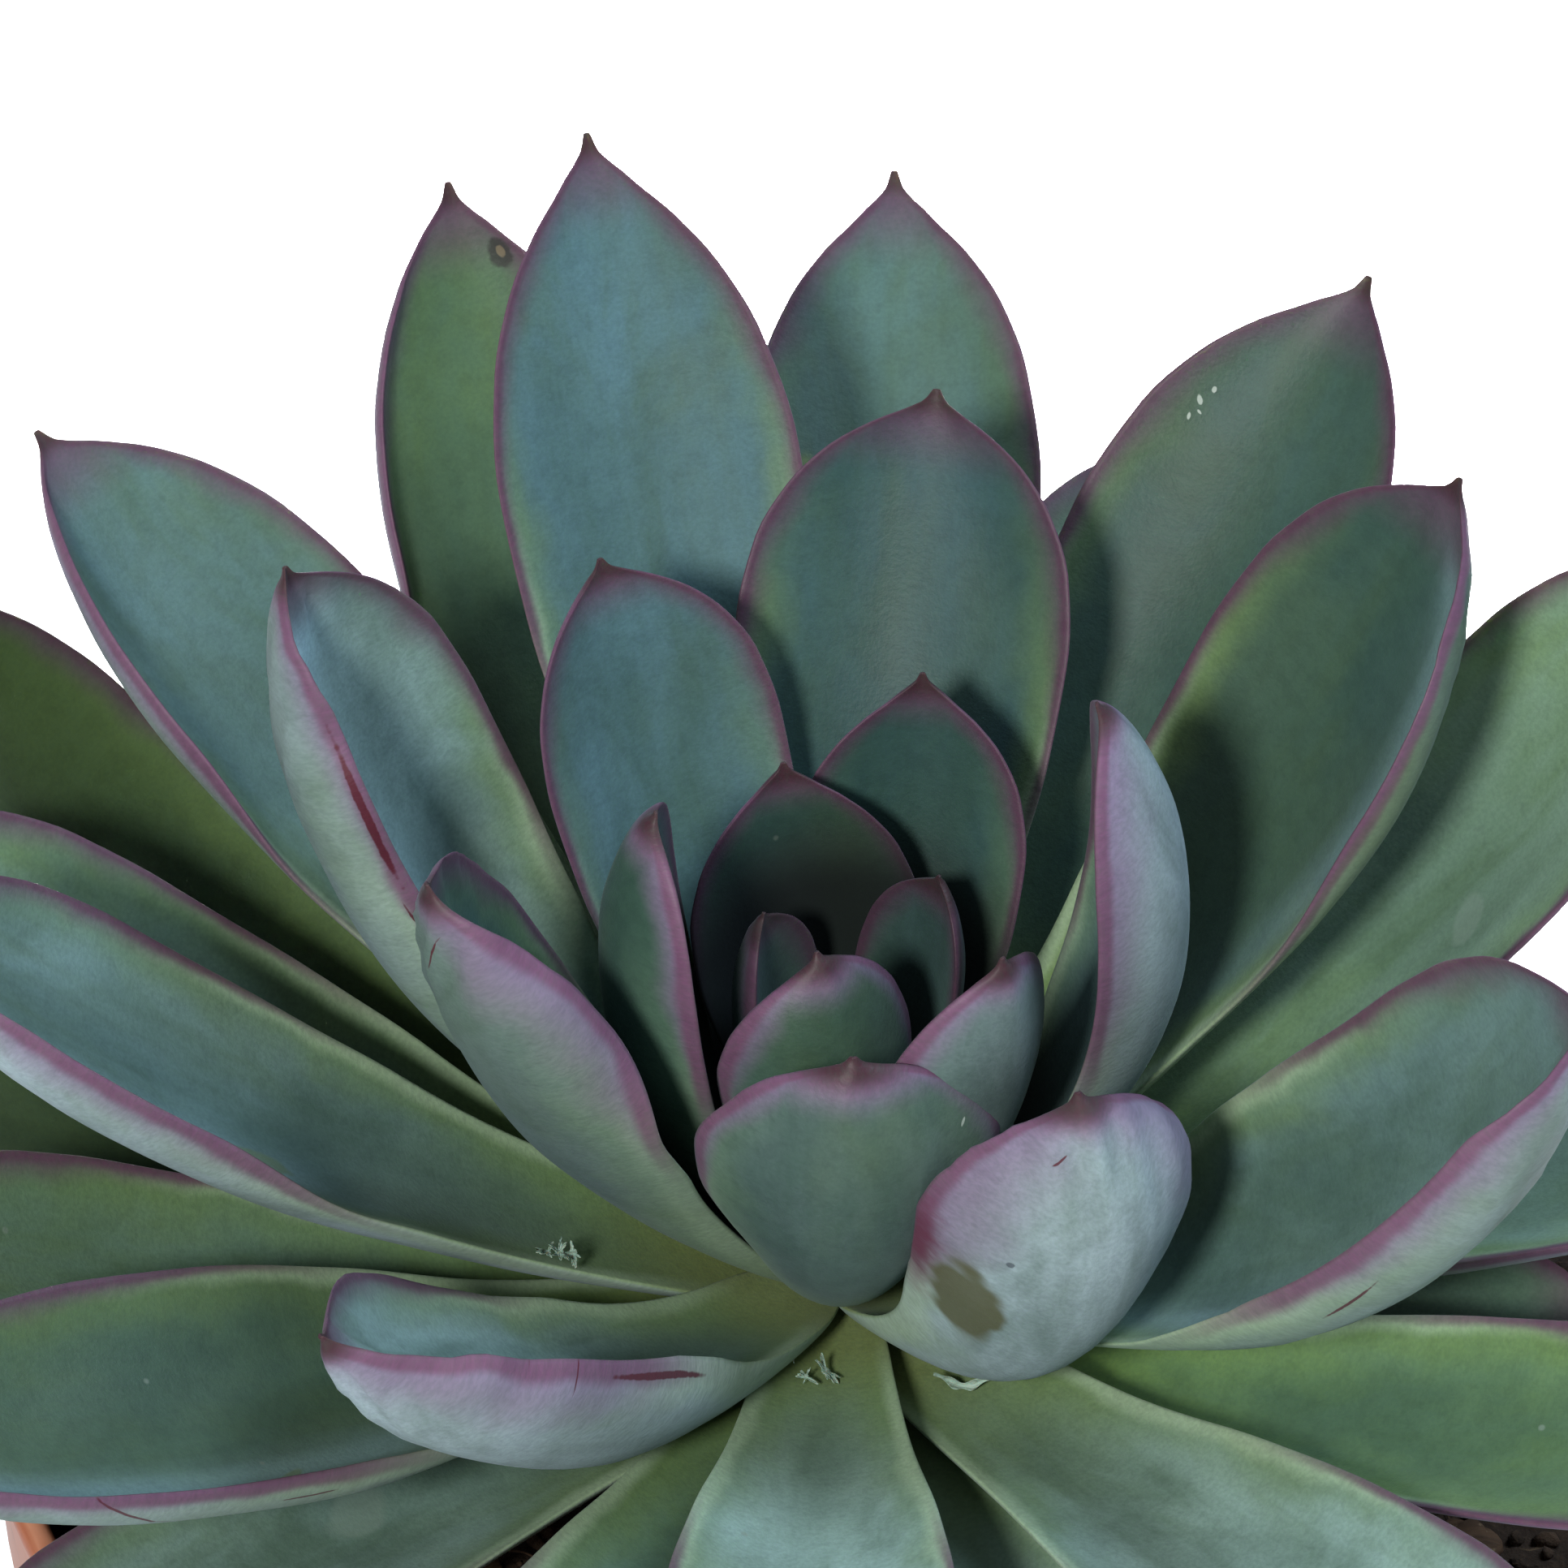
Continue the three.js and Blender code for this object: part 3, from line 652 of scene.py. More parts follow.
def leaf_skin():
    """Firm green flesh under a waxy blue bloom, pale just inside the margins and purple along them."""
    n = Finish("leaf_skin")
    margin, tip, along, side, age, veil, pale, lime, frost, flush, shade, glow = map(n.attribute, SKIN_NOTES)
    skin = n.attribute("skin", "Vector")
    under = n.ease(side, 0.12, -0.12)
    above = n.less(1, under)
    wander = n.noise(skin, 0.16, 2, 0.5)
    margin = n.times(margin, n.ease(wander, 0.3, 0.7, 0.8, 1.25))
    # flesh: deep teal in the young, greener in the old, yellow-green at the foot
    flesh = n.mix(n.ease(age, 0.25, 0.75), (0.018, 0.046, 0.033), (0.05, 0.085, 0.026))
    clouds = n.noise(skin, 0.075, 3, 0.55, (1, 0.55, 1))
    patches = n.times(n.ease(clouds, 0.42, 0.66), n.ease(age, 0.3, 0.7, 0.3, 0.65))
    flesh = n.mix(patches, flesh, (0.08, 0.125, 0.03))
    flesh = n.mix(n.ease(along, 0.42, 0.04, 0, 0.8), flesh, (0.12, 0.18, 0.045))
    flesh = n.mix(n.times(lime, above), flesh, (0.13, 0.235, 0.03))
    # painted shade in the hollow of the upper face, where the cupped blade shades itself, and the halo inside
    # its margins
    hollow = n.times(n.ease(margin, 2, 6.5), n.ease(along, 0.1, 0.3), above, n.ease(along, 0.86, 0.6),
                     n.ease(clouds, 0.62, 0.4, 0.55, 1))
    flesh = n.mix(n.times(hollow, 0.6), flesh, (0.014, 0.034, 0.022))
    halo = n.times(n.ease(margin, 4.3, 1.1), n.ease(along, 0.05, 0.22), n.ease(along, 0.95, 0.66))
    ring = n.mix(n.ease(age, 0.1, 0.4), (0.05, 0.1, 0.075), (0.13, 0.205, 0.06))
    flesh = n.mix(n.times(halo, n.ease(age, 0.42, 0.56, 0.75, 0.3)), flesh, ring)
    # bloom: rubbed thin in smudges and streaks, thicker on the outer face
    smudge = n.noise(skin, 0.11, 4, 0.6, (1.2, 0.6, 1), 0.7)
    streak = n.noise(skin, 0.45, 2, 0.5, (1.6, 0.12, 1))
    rubbed = n.plus(n.ease(smudge, 0.32, 0.64, 0.56, 1), n.ease(streak, 0.3, 0.7, -0.08, 0.08))
    # the bloom is thinner in the painted shade of the hollow and in the halo
    amount = n.times(rubbed, n.ease(along, 0.1, 0.52, 0.16, 1), veil, n.less(1, n.times(hollow, 0.4)),
                     n.less(1, n.times(halo, 0.45)))
    amount = n.mix(under, amount, n.times(rubbed, frost, n.ease(along, 0, 0.35, 0.55, 1)))
    upper_bloom = n.mix(pale, (0.043, 0.107, 0.145), (0.24, 0.355, 0.335))
    colour = n.mix(amount, flesh, n.mix(under, upper_bloom, (0.3, 0.38, 0.43)))
    # the light beside a rolled margin, and the warm foot
    sheen = n.mix(n.ease(glow, 0.9, 1.5), (0.25, 0.4, 0.46), (0.4, 0.6, 0.68))
    colour = n.mix(n.times(glow, above), colour, sheen)
    colour = n.mix(n.times(n.ease(along, 0.2, 0.05, 0, 0.5), above), colour, (0.12, 0.115, 0.02))
    # the pale rim of the lower half
    rim = n.times(n.ease(margin, 1.7, 0.5), n.ease(along, 0.04, 0.2), n.ease(along, 0.74, 0.5),
                  n.ease(age, 0.15, 0.4, 0.25, 0.6))
    colour = n.mix(rim, colour, (0.3, 0.4, 0.27))
    # purple: a soft wash along the margin that widens to the tip, and a magenta line at its edge
    wash = n.times(n.ease(along, 0.35, 0.9, 0.6, 4.2), flush)
    reach = n.plus(n.ease(along, 0.5, 0.97, 0.9, 2.8), n.times(under, wash))
    reach = n.times(reach, n.ease(under, 0, 1, 1, 0.8))
    line = n.times(n.ease(n.math("DIVIDE", margin, reach), 1.1, 0), n.ease(along, 0.42, 0.66, 0.06, 0.88))
    near = n.times(tip, n.most(under, n.ease(age, 0.12, 0.4, 1, 0.55)))
    wash = n.most(line, n.ease(near, 4.2, 1.2, 0, 0.8))
    colour = n.mix(wash, colour, n.mix(under, (0.088, 0.038, 0.078), (0.165, 0.11, 0.2)))
    core = n.ease(margin, n.ease(under, 0, 1, 0.95, 0.8), 0.3)
    core = n.most(n.times(core, n.ease(along, 0.36, 0.6, 0, 0.75)), n.ease(tip, 3, 1.2, 0, 0.6))
    colour = n.mix(core, colour, n.mix(under, (0.078, 0.022, 0.056), (0.115, 0.03, 0.078)))
    colour = n.mix(n.ease(tip, 2.4, 0.9), colour, (0.04, 0.009, 0.018))
    # fine grain, small pale specks and the single marks
    mottle = n.noise(skin, 0.8, 4, 0.65)
    colour = n.mix(n.ease(mottle, 0.35, 0.65, 0, 0.16), colour, n.mix(0.5, colour, (0.06, 0.13, 0.09)))
    colour = n.mix(n.ease(mottle, 0.55, 0.35, 0, 0.22), colour, n.mix(0.6, colour, (0.012, 0.03, 0.022)))
    colour, grain = n.grain(colour, (0.015, 0.04, 0.03), skin, 3, 2, 0.6, 0.3, 0.7, 0.18)
    cells = n.add("TexVoronoi", Vector=skin, Scale=0.21).outputs
    speck = n.times(n.ease(cells["Distance"], 0.07, 0.035), n.ease(cells["Color"], 0.82, 0.86), 0.6)
    colour = n.mix(speck, colour, (0.14, 0.18, 0.15))
    colour = add_marks(n, colour, above, under)
    # painted shade: near black deep in the heart, lighter on the leaves that stand in shade
    colour = n.mix(shade, colour, n.mix(0.96, colour, (0.002, 0.003, 0.003)))
    roughness = n.most(n.ease(amount, 0.2, 0.9, 0.5, 0.68), shade)
    normal = n.bump(grain, 0.00003, n.bump(smudge, 0.00002))
    return n.finish(colour, roughness, normal, Specular_IOR_Level=0.18, Subsurface_Weight=0.1,
                    Subsurface_Radius=(0.6, 1, 0.4), Subsurface_Scale=0.002, Sheen_Weight=0.04,
                    Sheen_Roughness=0.6, Sheen_Tint=(0.7, 0.85, 1, 1))


# ---- pot ----
POT = {"height": 100, "rim": 59.98, "collar": 14, "taper": 1, "step": 1.6, "ledge": 1.5, "bead": 1.1,
       "base": 42, "round": 2.5, "wall": 1.8, "floor": 2.4, "sides": 160}
DRAIN = {"count": 6, "radius": 4, "circle": 29}
# The pot's outer radius at each height, and how deep under it and between which heights it is inside.
POT_OUTSIDE = [(0, 39), (2.5, 42), (84.5, 57.3), (86, 58.9), (100, 60)]
POT_INSIDE = {"under": 1.3, "low": 2, "high": 98.6}
LEDGE_LEVEL = 86.2


def arc(radius, height, size, begin, end, steps):
    """Points of a profile round a centre at (radius, height), by angles in degrees."""
    angles = [radians(begin + (end - begin) * i / steps) for i in range(steps + 1)]
    return [(radius + size * cos(t), height + size * sin(t)) for t in angles]


def pot_profile():
    """From the underside up the outside, over the rim's bead and down the inside."""
    top, rim, wall, bead = POT["height"], POT["rim"], POT["wall"], POT["bead"]
    base, corner, floor, ledge = POT["base"], POT["round"], POT["floor"], POT["ledge"]
    collar_foot = top - POT["collar"]
    collar = rim - POT["taper"]
    body = collar - POT["step"]
    outside = [(1, 0), (base - corner - 6, 0)] + arc(base - corner, corner, corner, -90, -6, 6)
    outside += [(body - 0.15, collar_foot - ledge - 0.5), (body + 0.1, collar_foot - ledge + 0.1),
                (collar - 0.25, collar_foot - 0.3), (collar, collar_foot + 0.3), (collar + 0.42, top - 3.2)]
    bead_round = arc(rim - bead, top - bead, bead, -48, 222, 16)
    inside = [(rim - wall - 0.45, top - 4.2), (collar - wall, collar_foot + 1),
              (body - wall, collar_foot - ledge)]
    inside += [(base - wall, corner + floor)] + arc(base - wall - corner, corner + floor, corner, -30, -90, 3)
    return [(r * MM, z * MM) for r, z in outside + bead_round + inside + [(1, floor)]]


def drain_holes(piece):
    for index in range(DRAIN["count"]):
        angle = 2 * pi * (index + 0.5) / DRAIN["count"]
        middle = (DRAIN["circle"] * MM * cos(angle), DRAIN["circle"] * MM * sin(angle), 0)
        bpy.ops.mesh.primitive_cylinder_add(vertices=40, radius=DRAIN["radius"] * MM, depth=0.02,
                                            location=middle)
        drill = bpy.context.object
        only(piece)
        cut = piece.modifiers.new("drain", "BOOLEAN")
        cut.operation = "DIFFERENCE"
        cut.object = drill
        bpy.ops.object.modifier_apply(modifier=cut.name)
        bpy.data.objects.remove(drill)


def pot_plastic():
    """Moulded terracotta-coloured plastic, scuffed at its edges, dusty, and darker on its inner wall below
    the rim: partly wet peat stains, partly painted shade.
    """
    n = Finish("pot_plastic")
    place = n.place()
    inner = n.attribute("inner")
    level = n.attribute("level")
    ledge = n.ease(n.math("ABSOLUTE", n.less(level, LEDGE_LEVEL)), 1.3, 0.2)
    edge = n.most(ledge, n.ease(level, 99.2, 100))
    tone = n.noise(place, 28, 4, 0.55)
    colour = n.mix(n.ease(tone, 0.32, 0.68), (0.2, 0.054, 0.024), (0.27, 0.08, 0.035))
    colour, _ = n.grain(colour, (0.31, 0.104, 0.048), place, 60, 3, 0.5, 0.45, 0.75, 0.3, (1, 1, 0.12))
    colour, speck = n.grain(colour, (0.2, 0.055, 0.026), place, 900, 2, 0.6, 0.58, 0.72, 0.35)
    scratch = n.noise(place, 240, 3, 0.65, (0.25, 0.25, 1.6), 1.2)
    scuff = n.times(n.ease(scratch, 0.6, 0.68), n.ease(tone, 0.4, 0.62))
    scuff = n.most(n.times(scuff, 0.35), n.times(n.ease(scratch, 0.42, 0.6), edge))
    colour = n.mix(n.times(scuff, 0.6), colour, (0.44, 0.21, 0.13))
    lime = n.times(n.ease(level, 24, 4), n.ease(n.noise(place, 90, 5, 0.7), 0.42, 0.7))
    colour = n.mix(n.times(lime, 0.4), colour, (0.55, 0.44, 0.36))
    splash = n.times(n.ease(n.noise(place, 160, 4, 0.7, None, 1), 0.6, 0.72), n.ease(level, 78, 97))
    colour = n.mix(n.times(splash, 0.45), colour, (0.07, 0.04, 0.027))
    # the inner wall below the rim, with a ragged upper edge: peat stain and painted shade
    ragged = n.plus(level, n.times(n.noise(place, 120, 4, 0.6), 5))
    stain_and_shade = n.times(inner, n.ease(ragged, 100, 96))
    colour = n.mix(n.times(stain_and_shade, 0.85), colour, (0.04, 0.021, 0.014))
    rough = n.plus(n.ease(tone, 0.3, 0.7, 0.4, 0.5), n.times(n.most(scuff, stain_and_shade), 0.25))
    normal = n.bump(speck, 0.00003, n.bump(scratch, 0.00006))
    return n.finish(colour, rough, normal, Specular_IOR_Level=0.42, Subsurface_Weight=0.04,
                    Subsurface_Radius=(1, 0.3, 0.1), Subsurface_Scale=0.001)


def pot():
    piece = turned("plant_pot", pot_profile(), POT["sides"])
    drain_holes(piece)
    only(piece)
    bpy.ops.object.shade_smooth_by_angle(angle=radians(38))
    points = points_of(piece) / MM
    radius = np.hypot(points[:, 0], points[:, 1])
    level = points[:, 2]
    inner = radius < np.interp(level, *zip(*POT_OUTSIDE)) - POT_INSIDE["under"]
    note(piece, "inner", inner & (level > POT_INSIDE["low"]) & (level < POT_INSIDE["high"]))
    note(piece, "level", level)
    finish_piece(piece, pot_plastic(), "pot_plastic", "pot")


# ---- soil ----
SOIL = {"level": 93, "edge": 54.95, "hollow": 1.5, "sides": 200, "ring": 1.05}
# The soil's foot and the straight side above it, as (radius, height), and the rings on that side.
SOIL_FOOT = [(37.2, 2.75), (40, 5)]
SOIL_SIDE = [(39.9, 4.9), (55.2, 84.5)]
SOIL_RINGS = (30, 60, 84)
CRUMBS = 1500
CHIPS = 46
FIBRES = 150


def soil_top(x, y):
    """The height of the peat at a place, in millimetres."""
    radius = hypot(x, y)
    dish = SOIL["hollow"] * ((radius / SOIL["edge"]) ** 2 - 1)
    lumps = 0.75 * noise.noise(Vector((x, y, 3)) * 0.16) + 0.5 * noise.noise(Vector((x, y, 9)) * 0.45)
    grit = 0.35 * noise.noise(Vector((x, y, 5)) * 1.3)
    off_stem = min(1, radius / 7)
    off_wall = min(1, (SOIL["edge"] - radius) / 2 + 0.3)
    return SOIL["level"] + dish + (lumps + grit) * off_stem * off_wall


def place_on_soil(draw, margin, near):
    """A place drawn on the peat in millimetres, not nearer the wall than margin."""
    radius = (SOIL["edge"] - margin) * draw.uniform(near, 1) ** 0.5
    angle = draw.uniform(0, 2 * pi)
    return radius * cos(angle), radius * sin(angle)


def replicas(name, blank, places):
    """One mesh of many copies of a blank, each with its own place, size and turn. The blank goes."""
    shape = points_of(blank)
    faces = [tuple(face.vertices) for face in blank.data.polygons]
    points, loops, tones = [], [], []
    for index, (matrix, tone) in enumerate(places):
        turn = np.array(matrix.to_3x3())
        points.append(shape @ turn.T + np.array(matrix.translation))
        loops += [tuple(v + index * len(shape) for v in face) for face in faces]
        tones.append(np.full(len(shape), tone))
    mesh = bpy.data.meshes.new(name)
    mesh.from_pydata(np.concatenate(points).tolist(), [], loops)
    piece = add_object(name, mesh)
    note(piece, "tone", np.concatenate(tones))
    only(piece)
    bpy.ops.object.shade_smooth()
    bpy.data.objects.remove(blank)
    return piece


def lump_blank(detail, roughness, draw):
    """A rough lump about two millimetres across."""
    bpy.ops.mesh.primitive_ico_sphere_add(subdivisions=detail, radius=MM)
    blank = bpy.context.object
    points = points_of(blank)
    offset = Vector([draw.uniform(0, 50) for _ in range(3)])
    grow = [1 + roughness * noise.noise(Vector(p) / MM * 1.1 + offset) for p in points]
    set_points(blank, points * np.array(grow)[:, None])
    return blank


def scattered(draw, count, small, large, flat, near):
    """Places on the peat, more of them near the wall, as (matrix, tone) pairs."""
    places = []
    for _ in range(count):
        x, y = place_on_soil(draw, 1.6, near)
        size = draw.uniform(small, large)
        long, wide = draw.uniform(0.8, 1.5), draw.uniform(0.7, 1.1)
        stretch = Matrix.Diagonal((size * long, size * wide, size * flat, 1))
        turn = Matrix.Rotation(draw.uniform(0, 2 * pi), 4, "Z")
        turn = turn @ Matrix.Rotation(draw.gauss(0, 0.3), 4, "X")
        rest = Matrix.Translation((x * MM, y * MM, (soil_top(x, y) + size * flat * 0.35) * MM))
        places.append((rest @ turn @ stretch, draw.random()))
    return places


def peat():
    """Dark damp peat, its crumbs lighter where they have dried."""
    n = Finish("peat")
    place = n.place()
    tone = n.attribute("tone")
    damp = n.noise(place, 45, 3, 0.5)
    colour = n.mix(n.ease(damp, 0.35, 0.65), (0.012, 0.0075, 0.005), (0.032, 0.02, 0.013))
    colour, grain = n.grain(colour, (0.075, 0.046, 0.028), place, 700, 5, 0.7, 0.52, 0.72, 0.7)
    colour = n.mix(n.ease(tone, 0.55, 1, 0, 0.65), colour, (0.085, 0.05, 0.03))
    colour, thread = n.grain(colour, (0.15, 0.095, 0.05), place, 420, 2, 0.5, 0.64, 0.7, 0.5,
                             (0.25, 1.6, 1), 2)
    normal = n.bump(grain, 0.0005, n.bump(thread, 0.0002))
    return n.finish(colour, n.ease(damp, 0.35, 0.65, 0.7, 0.95), normal, Specular_IOR_Level=0.25)


def bark_chip():
    """Bits of bark and fibre, tan to red-brown along their grain."""
    n = Finish("bark_chip")
    place = n.place()
    tone = n.attribute("tone")
    colour = n.mix(tone, (0.07, 0.036, 0.02), (0.24, 0.15, 0.08))
    colour, grain = n.grain(colour, (0.035, 0.02, 0.013), place, 500, 4, 0.6, 0.4, 0.65, 0.65,
                            (0.3, 1.4, 1.4), 0.8)
    colour, _ = n.grain(colour, (0.34, 0.25, 0.15), place, 1500, 2, 0.6, 0.6, 0.75, 0.5)
    return n.finish(colour, 0.85, n.bump(grain, 0.0003), Specular_IOR_Level=0.25)


def fibres(draw):
    """Thin tan threads lying on the peat, each a bent curve."""
    curve = bpy.data.curves.new("peat_fibres", "CURVE")
    curve.dimensions = "3D"
    curve.bevel_depth = 0.11 * MM
    curve.bevel_resolution = 1
    curve.resolution_u = 5
    curve.use_fill_caps = True
    for _ in range(FIBRES):
        x, y = place_on_soil(draw, 3, 0.2)
        heading = draw.uniform(0, 2 * pi)
        spline = curve.splines.new("BEZIER")
        spline.bezier_points.add(3)
        for point in spline.bezier_points:
            height = soil_top(x, y) + 0.25 + abs(draw.gauss(0, 0.25))
            point.co = (x * MM, y * MM, height * MM)
            point.handle_left_type = point.handle_right_type = "AUTO"
            point.radius = draw.uniform(0.5, 1.3)
            heading += draw.gauss(0, 0.55)
            stride = draw.uniform(0.8, 2.4)
            step_x, step_y = stride * cos(heading), stride * sin(heading)
            way = 1 if hypot(x + step_x, y + step_y) < SOIL["edge"] - 1 else -1
            x += step_x * way
            y += step_y * way
    only(add_object("peat_fibres", curve))
    bpy.ops.object.convert(target="MESH")
    piece = bpy.context.object
    bpy.ops.object.shade_smooth()
    note(piece, "tone", 0.55 + 0.4 * np.sin(points_of(piece)[:, 0] * 400))
    return piece


def soil():
    draw = random.Random(SEED)
    edge, level = SOIL["edge"], SOIL["level"]
    rings = [edge - i * SOIL["ring"] for i in range(int(edge / SOIL["ring"]))]
    radii, heights = zip(*SOIL_SIDE)
    sides = SOIL_FOOT + [(np.interp(z, heights, radii), z) for z in SOIL_RINGS]
    profile = [(r * MM, z * MM) for r, z in sides] + [(r * MM, level * MM) for r in rings]
    piece = turned("potting_soil", profile, SOIL["sides"])
    points = points_of(piece)
    for point in points:
        if point[2] > (level - 0.5) * MM:
            point[2] = soil_top(point[0] / MM, point[1] / MM) * MM
    set_points(piece, points)
    only(piece)
    bpy.ops.object.shade_smooth_by_angle(angle=radians(60))
    earth = peat()
    wood = bark_chip()
    crumb = lump_blank(1, 0.7, draw)
    chip = lump_blank(3, 0.6, draw)
    crumbs = replicas("peat_crumbs", crumb, scattered(draw, CRUMBS, 0.3, 1, 0.75, 0.12))
    chips = replicas("bark_chips", chip, scattered(draw, CHIPS, 0.9, 2.3, 0.32, 0.3))
    for part, material in ((piece, earth), (crumbs, earth), (chips, wood), (fibres(draw), wood)):
        finish_piece(part, material, "soil", "soil")


# ---- stem ----
STEM = {"profile": [(62, 3.4), (64, 4.6), (68, 5.1), (90, 5.15), (97, 5.35), (102.6, 4.3), (107.4, 2.2)],
        "top": 107.5, "step": 0.55, "sides": 72, "around": 5.2}
SCARS = {"count": 48, "first": 97, "rise": 0.9, "wide": 2.2, "tall": 1.1}


def stem_bark():
    """Corky olive-brown bark, greener to the top, with pale scars where old leaves stood."""
    n = Finish("stem_bark")
    place = n.place()
    scar = n.attribute("scar")
    level = n.attribute("level")
    colour = n.mix(n.ease(level, 88, 105), (0.1, 0.07, 0.038), (0.13, 0.15, 0.055))
    colour, grain = n.grain(colour, (0.05, 0.034, 0.02), place, 420, 5, 0.65, 0.42, 0.68, 1,
                            (1, 1, 2.2), 0.6)
    colour = n.mix(n.times(scar, 0.8), colour, (0.3, 0.25, 0.15))
    colour, _ = n.grain(colour, (0.03, 0.02, 0.012), place, 1400, 2, 0.6, 0.58, 0.7, 0.5)
    return n.finish(colour, 0.82, n.bump(grain, 0.0004), Specular_IOR_Level=0.3)


def stem():
    table = STEM["profile"]
    heights = np.arange(table[0][0], STEM["top"], STEM["step"])
    radii = np.interp(heights, [z for z, _ in table], [r for _, r in table])
    piece = turned("short_stem", [(r * MM, z * MM) for r, z in zip(radii, heights)], STEM["sides"])
    points = points_of(piece) / MM
    around = np.arctan2(points[:, 1], points[:, 0])
    scar = np.zeros(len(points))
    for index in range(SCARS["count"]):
        angle = radians(SPIRAL["start"] + SPIRAL["turn"] * (len(LEAVES) + index))
        height = SCARS["first"] - SCARS["rise"] * index
        apart = np.abs(np.angle(np.exp(1j * (around - angle)))) * STEM["around"]
        across, up = (apart / SCARS["wide"]) ** 2, ((points[:, 2] - height) / SCARS["tall"] * 2) ** 2
        scar = np.maximum(scar, np.exp(-across - up))
    rough = np.array([noise.noise(Vector(p) * 0.9) + 0.5 * noise.noise(Vector(p) * 2.3) for p in points])
    grow = 1 - (0.22 * scar - 0.05 * rough + 0.05) / 5 * ease(STEM["top"], 104, points[:, 2])
    points[:, 0] *= grow
    points[:, 1] *= grow
    set_points(piece, points * MM)
    note(piece, "scar", scar)
    note(piece, "level", points[:, 2])
    only(piece)
    bpy.ops.object.shade_smooth()
    finish_piece(piece, stem_bark(), "stem_bark", "stem")


# ---- torn skin ----
def dry_skin():
    """Papery pale skin, thin enough to glow, with darker veins."""
    n = Finish("dry_skin")
    colour, vein = n.grain((0.24, 0.32, 0.27), (0.1, 0.15, 0.115), n.place(), 1400, 4, 0.7, 0.38, 0.62, 1,
                           (0.4, 1.6, 1), 1)
    return n.finish(colour, 0.55, n.bump(vein, 0.0001), Subsurface_Weight=0.3, Subsurface_Scale=0.0006,
                    Specular_IOR_Level=0.4)


def flake(x, y, size, draw):
    """A torn scrap: a small middle with a few long ragged points, bent up at random."""
    angle = np.arctan2(y, x)
    ring = 2 * np.maximum(np.abs(x), np.abs(y))
    reach = np.full(len(x), 0.2)
    lift = np.zeros(len(x))
    for _ in range(6):
        way, far = draw.uniform(-pi, pi), draw.uniform(0.35, 1)
        wide, bend = draw.uniform(0.16, 0.4), draw.uniform(-0.1, 0.4)
        apart = np.abs((angle - way + pi) % (2 * pi) - pi)
        point = np.exp(-(apart / wide) ** 2)
        reach = np.maximum(reach, far * point)
        lift += bend * point
    reach *= (1 + 0.16 * np.sin(angle * 23) + 0.1 * np.sin(angle * 41)) * size / 2
    lift *= ring ** 2 * size / 2
    return np.stack([ring * reach * np.cos(angle), ring * reach * np.sin(angle), lift], 1)


def strip(x, y, size, draw):
    """A torn thread of skin, curled along its length."""
    phase = draw.uniform(0, 6)
    wide = 0.07 * size * np.sqrt(np.clip(1.02 - (2 * x) ** 2, 0.02, 1)) * (1 + 0.4 * np.sin(x * 17 + phase))
    curl = 2.2 * y + 0.4 * np.sin(x * 9 + phase)
    drift = 0.1 * size * np.sin(x * 5 + phase)
    rise = wide * (1 - np.cos(curl)) + 0.35 * x * x * size
    return np.stack([x * size, drift + wide * np.sin(curl), rise], 1)


# Scraps of dry skin caught at the leaves' feet: shape, place and size in millimetres, and turn, tilt and
# lean in degrees.
SCRAPS = [
    (flake, (-18.6, -8.6, 112.8), 3.4, 60, 30, 10), (flake, (-17.7, -8.2, 112.3), 2.8, 15, 40, -10),
    (flake, (-19.4, -8.9, 113.1), 2.2, 100, 20, 0), (flake, (-0.3, -12.2, 104.7), 3.2, 80, 25, 0),
    (flake, (-1.7, -12.9, 104.9), 1.8, 10, 35, 0), (strip, (9.2, -11.4, 103), 4.2, -8, 60, 8),
    (flake, (-2.6, -10.9, 105.3), 1.8, 40, 30, 10),
]


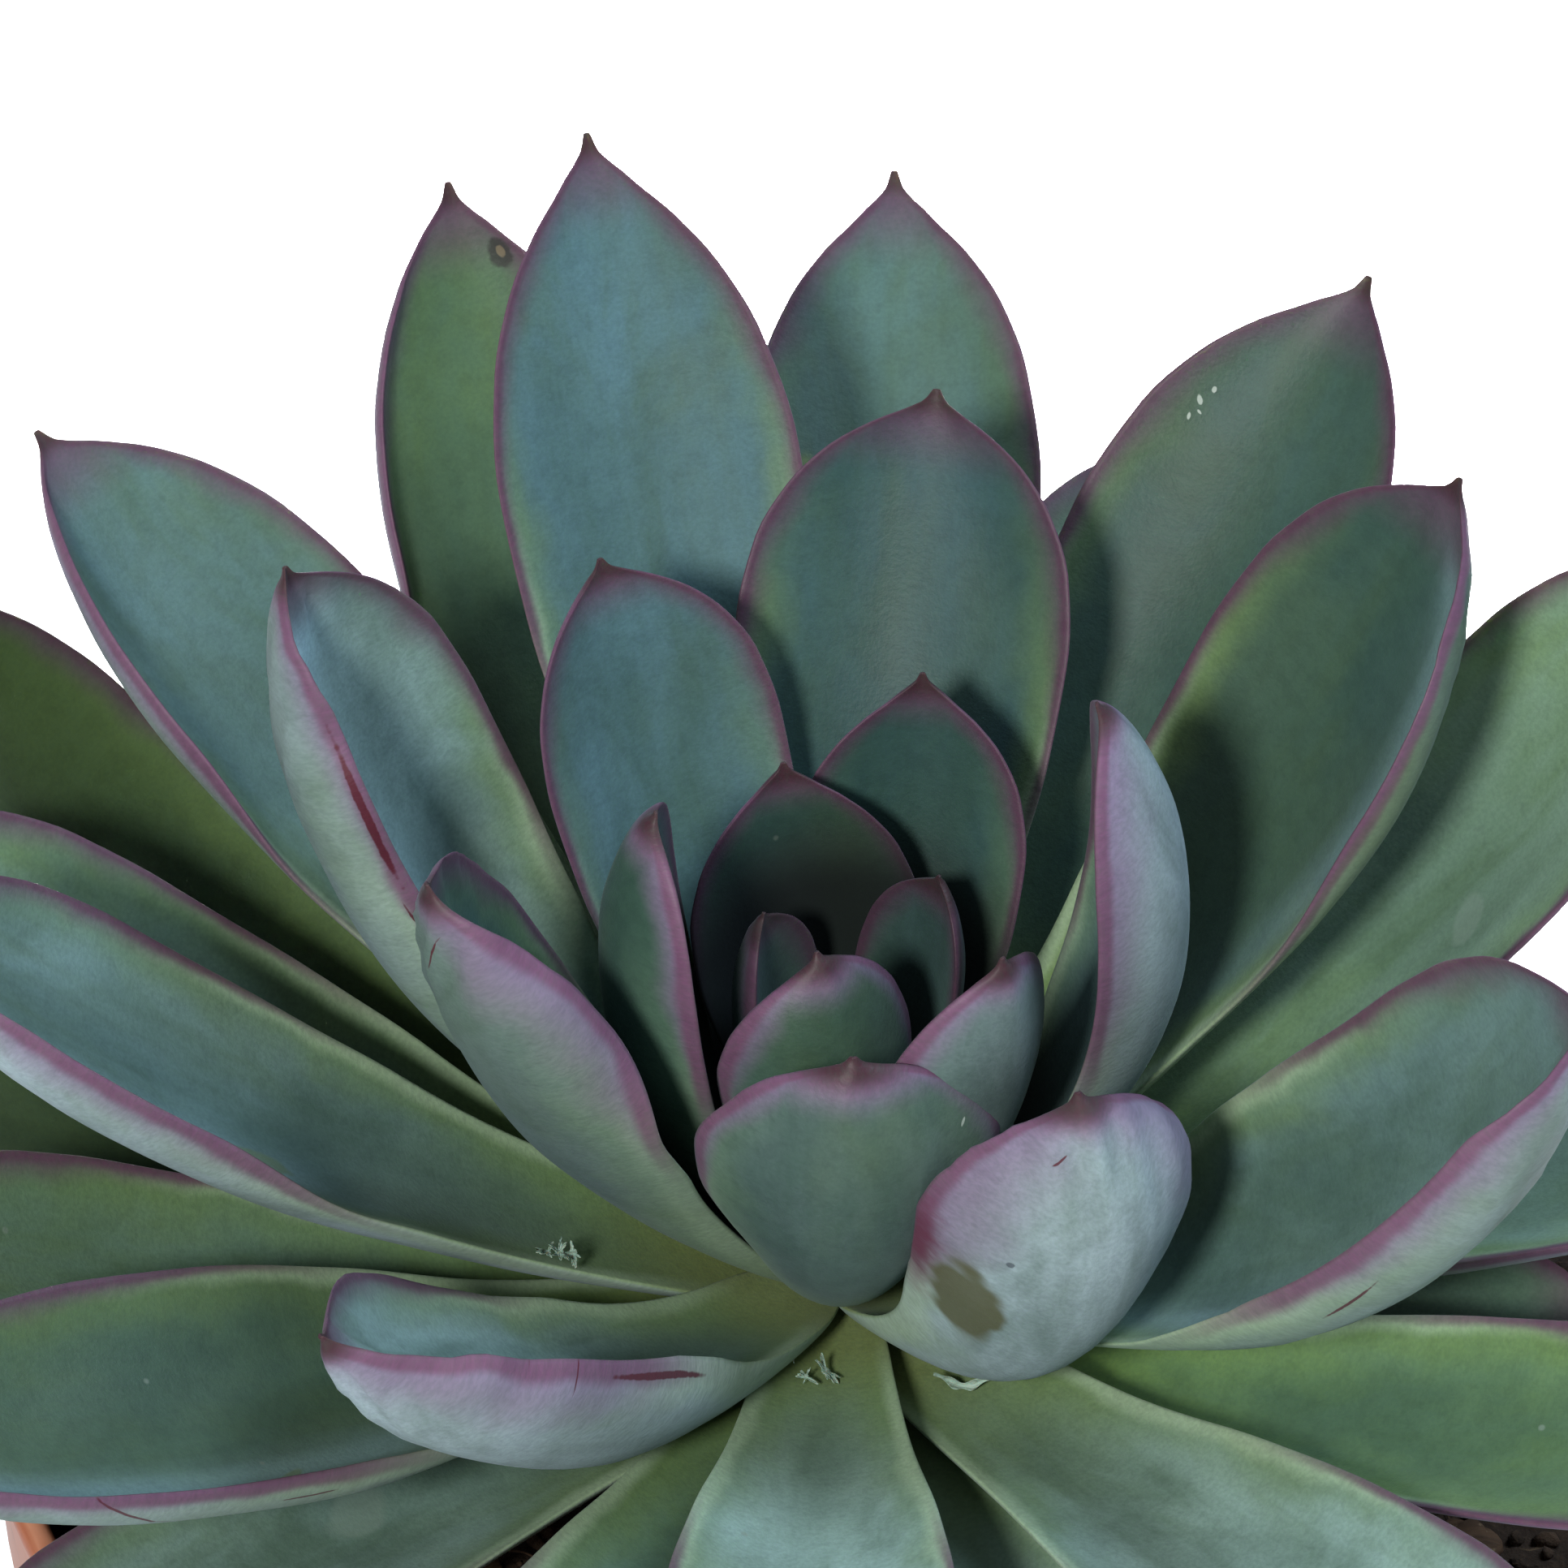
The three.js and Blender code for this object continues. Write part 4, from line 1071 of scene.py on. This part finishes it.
def skin_scrap(material, index, shape, place, size, turn, tilt, lean):
    draw = random.Random(SEED * 100 + index)
    bpy.ops.mesh.primitive_grid_add(x_subdivisions=32, y_subdivisions=32, size=1)
    piece = bpy.context.object
    piece.name = f"dry_skin_scrap_{index + 1}"
    x, y, _ = points_of(piece).T
    points = shape(x, y, size, draw)
    matrix = Matrix.Translation(Vector(place))
    for angle, axis in ((turn, "Z"), (tilt, "X"), (lean, "Y")):
        matrix = matrix @ Matrix.Rotation(radians(angle), 4, axis)
    placed = points @ np.array(matrix.to_3x3()).T + np.array(matrix.translation)
    set_points(piece, placed * MM)
    only(piece)
    skin = piece.modifiers.new("thickness", "SOLIDIFY")
    skin.thickness = 0.06 * MM
    bpy.ops.object.modifier_apply(modifier=skin.name)
    bpy.ops.object.shade_smooth()
    finish_piece(piece, material, "leaf_skin")


def scraps():
    material = dry_skin()
    for index, scrap in enumerate(SCRAPS):
        skin_scrap(material, index, *scrap)


# ---- stage ----
def floor():
    bpy.ops.mesh.primitive_plane_add(size=6)
    piece = bpy.context.object
    piece.name = "pale_floor"
    piece.data.materials.append(Finish("pale_floor").finish((0.9, 0.9, 0.9), 0.9))


def camera():
    angle = radians(VIEW["elevation"])
    data = bpy.data.cameras.new("view")
    data.lens = VIEW["lens"]
    data.sensor_width = VIEW["sensor"]
    item = add_object("view", data)
    away = Vector((0, -cos(angle), sin(angle))) * VIEW["distance"]
    item.location = Vector(VIEW["target"]) + away
    item.rotation_euler = (pi / 2 - angle, 0, 0)
    bpy.context.scene.camera = item


def soft_light(name, place, size, power, colour, toward=(0, 0, 0.13), spread=180):
    data = bpy.data.lights.new(name, "AREA")
    data.spread = radians(spread)
    data.shape = "DISK"
    data.size = size
    data.energy = power
    data.color = colour
    item = add_object(name, data)
    item.location = place
    item.rotation_euler = (Vector(toward) - Vector(place)).to_track_quat("-Z", "Y").to_euler()


def studio():
    world = bpy.data.worlds.new("studio")
    world.use_nodes = True
    back = world.node_tree.nodes["Background"]
    back.inputs["Color"].default_value = (0.93, 0.97, 1, 1)
    back.inputs["Strength"].default_value = 0.36
    bpy.context.scene.world = world
    soft_light("front_lamp", (-0.42, -1.02, 1.08), 0.24, 26, (1, 1, 0.94))
    soft_light("window", (0.62, 0.32, 1.2), 0.55, 13, (0.78, 0.95, 1.15))
    soft_light("backdrop_light", (0.05, 0.3, 0.5), 0.08, 6.5, (1, 0.98, 0.95), (0.05, 0.25, 0), 36)
    bpy.context.scene.view_settings.view_transform = "Standard"


camera()
studio()
floor()
rosette(leaf_skin())
pot()
soil()
stem()
scraps()
